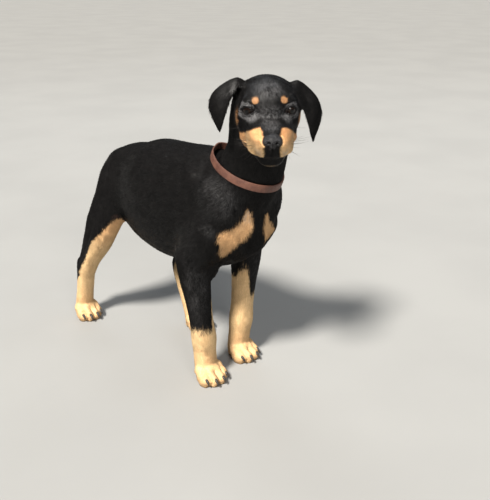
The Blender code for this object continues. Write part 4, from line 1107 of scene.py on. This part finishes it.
# the coat's pieces: one for each run, with head and neck parted left and right and the trunk into four
def coatGroups(c):
    across, ahead = toDog(c["root"])[:, 0], toDog(c["root"])[:, 1]
    group = np.array(list(paths), dtype=object)[c["label"]]
    group = np.where(group == "jaw", "head", group)

    def side(values):
        return np.where(values > 0, "_left", "_right").astype(object)

    endings = {"head": side(toHead(c["root"])[:, 0]), "neck": side(across),
               "trunk": np.where(ahead > -0.02, "_fore", "_rear").astype(object) + side(across)}
    for name, ending in endings.items():
        group = np.where(group == name, group + ending, group)
    return group


def addCoat(mesh):
    c = coatRoots(mesh)
    points, normals = lockPoints(c)
    marks = markingsAt(c["root"], c["random"][:, 5] * 2 - 1)
    finish = coatFinish()
    group = coatGroups(c)
    sheet = np.array(((-1, -0.8), (1, -0.8), (0, 0.2), (0, 1.0))) * coatShape["patch"]
    for name in sorted(set(group)):
        own = np.flatnonzero(group == name)
        run = name if name in paths else name.split("_")[0]
        around, along = unrolled(c["root"][own], c["normal"][own], run)
        first = np.arange(len(own))[:, None, None] * 4
        faces = (first + np.array(((0, 1, 2), (1, 3, 2), (3, 0, 2), (0, 3, 1)))).reshape(-1, 3)
        coat = meshFrom("coat", points[own].reshape(-1, 3), faces)
        values = {key: marks[key][own] for key in ("tan", "tone", "greyAndSheen")}
        fine, broad = softNoise(c["root"][own], 0.006, 21), softNoise(c["root"][own], 0.016, 22)
        clump = 0.5 + 0.30 * fine + 0.20 * broad
        values["shade"] = np.clip(0.5 * c["random"][own, 4] + 0.5 * clump, 0, 1)
        for key, value in values.items():
            setValues(coat, key, np.repeat(value, 4))
        setValues(coat, "tip", np.tile((0.0, 0.0, 0.45, 1.0), len(own)))
        spot = np.stack([around, squeezed(along)], axis=1) * 0.99 + 0.005
        layer = coat.uv_layers.new(name="OFBake")
        loops = readArray(coat.loops, "vertex_index", 1, np.int32)[:, 0]
        layer.data.foreach_set("uv", (spot[:, None] + sheet).reshape(-1, 2)[loops].astype(np.float32).ravel())
        coat.normals_split_custom_set_from_vertices(normals[own].reshape(-1, 3).astype(np.float32))
        addPiece("coat_" + name, coat, finish)
        print("coat", name, len(own))


# the ball bulges a little into a cornea and looks a little outwards; the rim lies along the lids' edge
eyeShape = {"bulge": 0.00045, "bulgeEnd": 0.68, "look": (0.10, 0.0, 1.0), "around": 72,
            "rimOut": 0.00035, "rim": 0.00050, "rimOver": 0.00042, "corner": 0.0016, "rimAround": 120}
# colours, and the distances from the middle at which the pupil ends, the iris darkens and the white begins
eyeLook = {"pupil": (0.0015, 0.0015, 0.0015), "pupilEnd": (0.0024, 0.0027),
           "iris": ((0.0040, 0.0022, 0.0015), (0.0110, 0.0054, 0.0031)),
           "edge": (0.002, 0.0015, 0.0015), "edgeAt": (0.0042, 0.0052),
           "white": ((0.006, 0.004, 0.004), (0.014, 0.010, 0.009)), "whiteAt": (0.0054, 0.0062),
           "lid": ((0.002, 0.0018, 0.002), (0.005, 0.0043, 0.0045))}


def eyeball(sign):
    v = eyeShape
    tilt = np.concatenate([np.linspace(0.02, 0.75, 34), np.linspace(0.80, math.pi - 0.05, 40)])
    t, p = np.meshgrid(tilt, turns(v["around"]), indexing="ij")
    r = (eyeRadius + v["bulge"] * np.clip(1 - (tilt / v["bulgeEnd"]) ** 2, 0, 1) ** 2)[:, None]
    look = unit(np.array(v["look"]))
    side = unit(np.cross((0, 1, 0), look))
    axes = np.array((side, np.cross(look, side), look))
    local = np.stack([r * np.sin(t) * np.cos(p), r * np.sin(t) * np.sin(p), r * np.cos(t)], axis=-1) @ axes
    mesh = tubeMesh("eye", fromEye(*np.moveaxis(local, -1, 0), sign))
    ring = np.sin(tilt) * eyeRadius + (tilt > 1.57) * 0.01   # from the pupil's middle, and large all behind
    setValues(mesh, "ring", np.concatenate([np.repeat(ring, v["around"]), [0, 0.02]]))
    return mesh


def lidRim(sign):
    v, opening = eyeShape, eyeOpening
    a = turns(v["rimAround"])
    corner = v["corner"] * hump(a - np.pi, 0.16)   # drawn out towards the nose
    across = opening["half"] * np.cos(a) * 1.01 - corner
    up = np.where(np.sin(a) > 0, opening["top"], opening["bottom"]) * np.sin(a) * 0.99
    ahead = np.sqrt(np.maximum((eyeRadius + v["rimOut"]) ** 2 - across ** 2 - up ** 2, 1e-9))
    path = fromEye(across, up, ahead, sign)
    outward = unit(path - fromEye(0.0, 0.0, 0.0, sign))
    inward = np.cross(loopSlopes(path), outward)
    radii = v["rim"] + v["rimOver"] * ramp(0, 1, np.sin(a))
    return tubeMesh("lidRim", ringsRound(path, radii, outward, inward, 10), wrapAlong=True)


def addEyes():
    ball, rim = eyeFinish(), lidFinish()
    for tag, sign in sides:
        addPiece("eyeball_" + tag, eyeball(sign), ball, ["eye_" + tag])
        addPiece("lidRim_" + tag, lidRim(sign), rim)


# pupil, streaked iris with a dark edge, and the white, which is dark too, under a clear wet coat
def eyeFinish():
    v, paint = eyeLook, Paint("eyeGloss")
    ring = paint.value("ring")
    iris = paint.mixed(paint.noise(900.0, 4.0, 0.6).fade(0.35, 0.70), *v["iris"])
    iris = paint.mixed(ring.fade(*v["edgeAt"]), iris, v["edge"])
    tone = paint.mixed(ring.fade(*v["pupilEnd"]), v["pupil"], iris)
    white = paint.mixed(paint.noise(300.0).fade(0.4, 0.7), *v["white"])
    tone = paint.mixed(ring.fade(*v["whiteAt"]), tone, white)
    return paint.finish({"Base Color": tone, "Roughness": 0.35, "Coat Weight": 1.0, "Coat Roughness": 0.03,
                         "Coat IOR": 1.33, "IOR": 1.38, "Specular IOR Level": 0.0})


def lidFinish():
    paint = Paint("lidRimSkin")
    grain = paint.noise(1800.0, 3.0)
    tone = paint.mixed(grain.fade(0.3, 0.7), *eyeLook["lid"])
    return paint.finish({"Base Color": tone, "Roughness": 0.45, "Specular IOR Level": 0.14,
                         "Normal": paint.bump(grain, 0.0002, 0.4)})


# how deep the nostrils, their side slits and the groove are pressed in, and how far the wing over them stands
# out. each has its place across and up with its half widths; the slit falls by its drop towards its outer end
noseShape = {"pit": (0.0034, 0.0051, -0.0140, 0.0018, 0.00135),
             "wing": (0.00035, 0.0056, -0.0112, 0.0028, 0.0010),
             "slit": (0.0013, 0.0056, -0.0146, 0.0046, 0.00055), "drop": 0.0030, "groove": (0.0009, 0.00045),
             "tones": ((0.004, 0.004, 0.005), (0.012, 0.0116, 0.013)), "inside": (0.002, 0.002, 0.002)}


def addNose():
    v = noseShape
    tilt = np.linspace(0.02, math.pi - 0.25, 110)
    t, p = np.meshgrid(tilt, turns(160), indexing="ij")
    ways = np.stack([np.sin(t) * np.cos(p), np.cos(t), np.sin(t) * np.sin(p)], axis=-1)
    reach = noseReach(ways)
    h = noseMiddle + ways * reach[..., None]
    x, y, z = np.abs(h[..., 0]), h[..., 1], h[..., 2]
    front = ramp(0.060, 0.063, y)
    pitDepth, across, up, wide, high = v["pit"]
    pit = hump(x - across, wide) * hump(z - up, high)
    wingHeight, across, up, wide, high = v["wing"]
    wing = hump(x - across, wide) * hump(z - up, high)
    slitDepth, across, up, wide, high = v["slit"]
    drop = v["drop"] * np.clip((x - across) / wide, 0, 1) ** 1.5
    slit = hump(z - up + drop, high) * ramp(0.0046, 0.0058, x) * ramp(0.0112, 0.0099, x)
    grooveDepth, wide = v["groove"]
    groove = hump(x, wide) * ramp(-0.0125, -0.0150, z)
    pressed = pitDepth * pit + slitDepth * slit * ramp(0.056, 0.060, y) + grooveDepth * groove
    reach = reach + front * (wingHeight * wing - pressed)
    mesh = tubeMesh("nose", fromHead(noseMiddle + ways * reach[..., None]))
    setValues(mesh, "pit", np.concatenate([(front * np.clip(pit + 0.7 * slit, 0, 1)).ravel(), [0, 0]]))
    addPiece("noseLeather", mesh, noseFinish(), ["nose"])


def noseFinish():
    paint = Paint("noseLeather")
    pebble = paint.cells(2000.0, 0.14)
    tone = paint.mixed(pebble, *noseShape["tones"])
    # the nostrils and their slits are darker: their own dark lining and painted shade of the openings
    tone = paint.mixed(paint.value("pit"), tone, noseShape["inside"])
    return paint.finish({"Base Color": tone, "Roughness": paint.noise(260.0).fade(0.3, 0.7, 0.38, 0.55),
                         "Normal": paint.bump(pebble, 0.0002, 0.6), "Specular IOR Level": 0.38})


# whiskers: rows of long dark hairs on the lips, a few over the eye and on the cheek, bent back and down.
# each: across, ahead and up of its root in the head's axes, and its length
whiskerShape = {"thick": 0.00013, "seed": 3, "tones": ((0.006, 0.005, 0.005), (0.020, 0.016, 0.014)),
                "rows": (
    (0.0165, 0.046, -0.0235, 0.013), (0.0185, 0.041, -0.0230, 0.016), (0.0200, 0.036, -0.0225, 0.018),
    (0.0170, 0.048, -0.0270, 0.014), (0.0190, 0.043, -0.0268, 0.018), (0.0205, 0.038, -0.0265, 0.022),
    (0.0215, 0.033, -0.0260, 0.024), (0.0170, 0.047, -0.0305, 0.013), (0.0190, 0.042, -0.0305, 0.017),
    (0.0205, 0.037, -0.0303, 0.021), (0.0215, 0.032, -0.0300, 0.023), (0.0190, 0.006, 0.0155, 0.013),
    (0.0210, 0.005, 0.0150, 0.015), (0.0330, 0.000, -0.0240, 0.014), (0.0100, 0.040, -0.0440, 0.009))}


def addWhiskers(mesh):
    v = whiskerShape
    draw = np.random.default_rng(v["seed"])
    points, normals = pointsOf(mesh), normalsOf(mesh)
    nose = fromHead([(0, 0, 0)])[0]
    made = []
    for tag, sign in sides:
        for across, ahead, up, length in v["rows"]:
            place = fromHead([(sign * across, ahead, up)])[0] + draw.normal(0, 0.0005, 3)
            near = np.argmin(((points - place) ** 2).sum(axis=1))
            back = unit(fromHead([(sign * 0.5, -1.0, -0.25)])[0] - nose + draw.normal(0, 0.12, 3))
            step = np.linspace(0, 1, 9)[:, None]
            way = unit(normals[near] * (1 - 0.55 * step) + back * (0.35 + 0.6 * step))
            run = np.vstack([np.zeros(3), np.cumsum(way[:-1], axis=0)]) / 8
            path = points[near] - normals[near] * 0.0006 + run * length * draw.uniform(0.85, 1.15)
            made.append(tubeMesh("whisker", ringsAlong(path, v["thick"] * (1.05 - step[:, 0]) ** 0.7, 6)))
    paint = Paint("whiskerHair")
    finish = paint.finish({"Base Color": paint.mixed(paint.noise(800.0), *v["tones"]), "Roughness": 0.45})
    addPiece("whiskers", joinedMesh("whiskers", made), finish)


# claws: short tapered horns that curve down out of the toes. run: ahead of the toe's place, up, and radius.
# splay: degrees outwards for each metre off the paw's middle
clawShape = {"run": ((0.0080, 0.0130, 0.0025), (0.0110, 0.0126, 0.0025), (0.0138, 0.0116, 0.0023),
                     (0.0158, 0.0101, 0.0019), (0.0174, 0.0084, 0.0014), (0.0184, 0.0066, 0.0007)),
             "slim": 0.92, "splay": 180, "tones": ((0.012, 0.010, 0.009), (0.045, 0.038, 0.032))}


def addClaws():
    v, paint = clawShape, Paint("clawHorn")
    streak = paint.noise(700.0, 3.0, 0.6)
    tone = paint.mixed(streak.fade(0.3, 0.7), *v["tones"])
    finish = paint.finish({"Base Color": tone, "Roughness": 0.45, "Specular IOR Level": 0.35,
                           "Normal": paint.bump(streak, 0.0002, 0.3)})
    for limb, tag, foot, turn, narrow in pawPlaces():
        for number, (across, ahead) in enumerate(toes, 1):
            spread = math.sin(math.radians(across * v["splay"]))   # the outer claws point a little outwards
            stations = [(across * narrow + spread * step, ahead + step, up, r) for step, up, r in v["run"]]
            x, y, z, radii = curveThrough(stations, 4).T
            path = dogPoints(np.column_stack([foot[0] + x * math.cos(turn) + y * math.sin(turn),
                                              foot[1] - x * math.sin(turn) + y * math.cos(turn), z]))
            name = f"{limb}_{tag}_{number}"
            addPiece("horn_" + name, tubeMesh("horn", ringsAlong(path, radii * v["slim"], 14)), finish,
                     ["claw_" + name])


# the collar. angles round it are in degrees from the throat, and each pair of colours is mottled
collarShape = {"centre": (0.0030, 0.1245, 0.3155), "axis": (0.095, 0.340, 0.935),
               "width": 0.0105, "thick": 0.0024, "tongueThick": 0.0018, "tongueEnd": 52, "gap": 0.0003,
               "edgeLine": 0.0012, "lineWidth": 0.00028, "lineDeep": 0.00030,
               "buckleAt": 106, "frameWire": 0.0010, "pinWire": (0.00075, 0.0006),
               "holes": (18.5, 34.0, 40.0, 46.0), "hole": (0.00085, 0.00075)}
collarLook = {"leather": ((0.078, 0.029, 0.018), (0.134, 0.055, 0.034)), "crease": (0.060, 0.016, 0.009),
              "scuff": (0.22, 0.118, 0.076), "steel": ((0.60, 0.58, 0.54), (0.42, 0.40, 0.37)),
              "hole": ((0.006, 0.004, 0.003), (0.020, 0.010, 0.007))}
collarMiddle = dogPoints([collarShape["centre"]])[0]
collarAxis = unit(np.array(collarShape["axis"]) * flip)
collarSide = unit(np.array((1.0, 0, 0)) - collarAxis * collarAxis[0])
collarThroat = np.cross(collarSide, collarAxis)
collarThroat = collarThroat * (-1 if collarThroat[1] > 0 else 1)


def treeOf(name):
    points, faces = nodeShape(name, 0.0)
    return BVHTree.FromPolygons(points.tolist(), faces.tolist())


# the strap's inner wall all round, from rays out of its middle, drawn in where the neck is smaller and evened
# over its facets
def strapReach():
    strap, neck = treeOf("collar_strap"), treeOf("neck")
    angles = np.radians(np.arange(0, 360, 2))
    ways = collarThroat * np.cos(angles)[:, None] + collarSide * np.sin(angles)[:, None]
    reach = np.array([strap.ray_cast(Vector(collarMiddle), Vector(way))[3] for way in ways], float)
    far = 0.2

    def neckReach(way, up):
        start = Vector(collarMiddle + collarAxis * up + way * far)
        return far - (neck.ray_cast(start, -Vector(way))[3] or far)

    inside = [max(neckReach(way, up) for up in (-0.004, 0.0, 0.004)) for way in ways]
    away = np.abs(np.degrees(angles) - collarShape["buckleAt"] - 12)
    free = ramp(30, 50, away)                # the buckle keeps its place
    reach -= np.clip(reach - np.array(inside) - 0.0003, 0, 0.0014) * free
    padded = np.concatenate([reach[-4:], reach, reach[:4]])
    even = np.convolve(padded, np.array((1, 2, 3, 4, 5, 4, 3, 2, 1)) / 25, "valid")
    return np.degrees(angles), even


collarReach = strapReach()


def onStrap(degrees, out, up):
    degrees, out, up = np.broadcast_arrays(np.asarray(degrees, float), out, up)
    angles, reaches = collarReach
    reach = np.interp(degrees % 360, np.append(angles, 360), np.append(reaches, reaches[0]))
    a = np.radians(degrees)
    way = collarThroat * np.cos(a)[..., None] + collarSide * np.sin(a)[..., None]
    return collarMiddle + way * (reach + out)[..., None] + collarAxis * up[..., None]


# a flat strap's section: a rounded bar with a pressed line beside each edge of its outer face
def strapSection(width, thick, count=44):
    a = turns(count)
    up = width / 2 * np.sign(np.cos(a)) * np.abs(np.cos(a)) ** 0.42
    out = thick / 2 + thick / 2 * np.sign(np.sin(a)) * np.abs(np.sin(a)) ** 0.30
    line = hump(np.abs(up) - (width / 2 - collarShape["edgeLine"]), collarShape["lineWidth"])
    return up, out - collarShape["lineDeep"] * line * (np.sin(a) > 0.3)


# the strap with its tongue lying over it, and the leather keeper
def addStrap(finish):
    v = collarShape
    up, out = strapSection(v["width"], v["thick"])
    degrees = np.arange(0, 360, 1.5)
    wave = 0.00008 * softNoise(np.stack([degrees, degrees * 0, degrees * 0], 1), 9.0, 5)
    strap = tubeMesh("strap", onStrap(degrees[:, None], out[None] + wave[:, None], up[None]), wrapAlong=True)
    up, out = strapSection(v["width"] - 0.0004, v["tongueThick"])
    degrees = v["buckleAt"] + np.linspace(-2, v["tongueEnd"], 60)
    taper = np.sqrt(np.clip((degrees[-1] - degrees) / 5.0, 0.02, 1))
    tongue = onStrap(degrees[:, None], v["thick"] + 0.00005 + out[None], up[None] * taper[:, None])
    mesh = joinedMesh("collar", [strap, tubeMesh("tongue", tongue)])
    addPiece("collarLeather", mesh, finish, ["collar_strap"])
    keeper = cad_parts["collar_keeper"].data
    keeper.materials.clear()
    keeper.materials.append(finish)


# a wire frame over the tongue, and the pin across it
def addBuckle(finish):
    v = collarShape
    top = v["thick"] + v["tongueThick"] + v["gap"]
    corners = np.array(((-3, -0.0082), (10, -0.0082), (13, -0.0066), (13, 0.0066),
                        (10, 0.0082), (-3, 0.0082), (-6, 0.0066), (-6, -0.0066)))
    loop = roundedLoop(corners, 6)
    path = onStrap(v["buckleAt"] + loop[:, 0], top + 0.0011, loop[:, 1])
    along, out = loopSlopes(path), unit(path - collarMiddle)
    out = unit(out - along * (out * along).sum(-1, keepdims=True))
    rings = ringsRound(path, v["frameWire"], out, np.cross(along, out), 12)
    addPiece("buckleFrame", tubeMesh("buckle", rings, wrapAlong=True), finish, ["collar_buckle"])
    out = top + 0.0022 + 2 * v["gap"] + 0.0007
    run = curveThrough([(-8.5, out), (-2, out + 0.0004), (6, out + 0.0003), (15.5, out)], 8)
    path = onStrap(v["buckleAt"] + run[:, 0], run[:, 1], 0.0)
    pin = ringsAlong(path, np.linspace(*v["pinWire"], len(path)), 12, collarAxis)
    addPiece("bucklePin", tubeMesh("pin", pin), finish, ["collar_prong"])


# dark dots on the tongue: painted shade where the punched holes are
def addHoles():
    v = collarShape
    holes = []
    for degree in v["buckleAt"] + np.array(v["holes"]):
        base = onStrap(degree, v["thick"] + v["tongueThick"] - 0.0006, 0.0)
        way = unit(onStrap(degree, 0.01, 0.0) - onStrap(degree, 0.0, 0.0))
        path = base + way * np.linspace(0, 0.00075, 4)[:, None]
        holes.append(tubeMesh("hole", ringsAlong(path, np.repeat(v["hole"], (3, 1)), 14, collarAxis)))
    paint = Paint("punchedHoleShade")
    tone = paint.mixed(paint.noise(900.0), *collarLook["hole"])
    addPiece("collarHoles", joinedMesh("holes", holes), paint.finish({"Base Color": tone, "Roughness": 0.8}))


def joinedMesh(name, meshes):
    bm = bmesh.new()
    for mesh in meshes:
        bm.from_mesh(mesh)
        bpy.data.meshes.remove(mesh)
    joined = bpy.data.meshes.new(name)
    bm.to_mesh(joined)
    bm.free()
    joined.shade_smooth()
    return joined


# a closed run through corners, softened by averaging each point with its neighbours
def roundedLoop(corners, perSpan):
    after = np.roll(corners, -1, axis=0)
    t = (np.arange(perSpan) / perSpan)[None, :, None]
    loop = (corners[:, None] * (1 - t) + after[:, None] * t).reshape(-1, corners.shape[1])
    for i in range(4):
        loop = (np.roll(loop, 1, axis=0) + 2 * loop + np.roll(loop, -1, axis=0)) / 4
    return loop


def leatherFinish():
    paint = Paint("collarLeather")
    grain = paint.cells(1100.0, 0.16)
    blotch = paint.noise(70.0, 4.0, 0.6)
    scuff = paint.noise(420.0, 5.0, 0.65)
    tone = paint.mixed(blotch.fade(0.32, 0.68), *collarLook["leather"])
    tone = paint.mixed(grain.fade(0.0, 1.0, 0.45, 0.0), tone, collarLook["crease"])
    tone = paint.mixed(scuff.fade(0.58, 0.74) * 0.55, tone, collarLook["scuff"])
    return paint.finish({"Base Color": tone, "Roughness": scuff.fade(0.3, 0.7, 0.42, 0.62),
                         "Normal": paint.bump(grain * 0.6 + scuff * 0.4, 0.0003, 0.6)})


def steelFinish():
    paint = Paint("buckleSteel")
    wear = paint.noise(500.0, 4.0, 0.6)
    tone = paint.mixed(wear.fade(0.4, 0.7), *collarLook["steel"])
    return paint.finish({"Base Color": tone, "Metallic": 1.0, "Roughness": wear.fade(0.3, 0.7, 0.22, 0.42)})


setCamera()
setStage()
skinMesh = shapedSkin(fusedSkin())
dressSkin(skinMesh)
addPiece("skin", skinMesh, skinFinish(), flesh)
addCoat(skinMesh)
addEyes()
addNose()
addWhiskers(skinMesh)
addClaws()
addStrap(leatherFinish())
addBuckle(steelFinish())
addHoles()
print("eyes, nose, whiskers, claws and collar added")
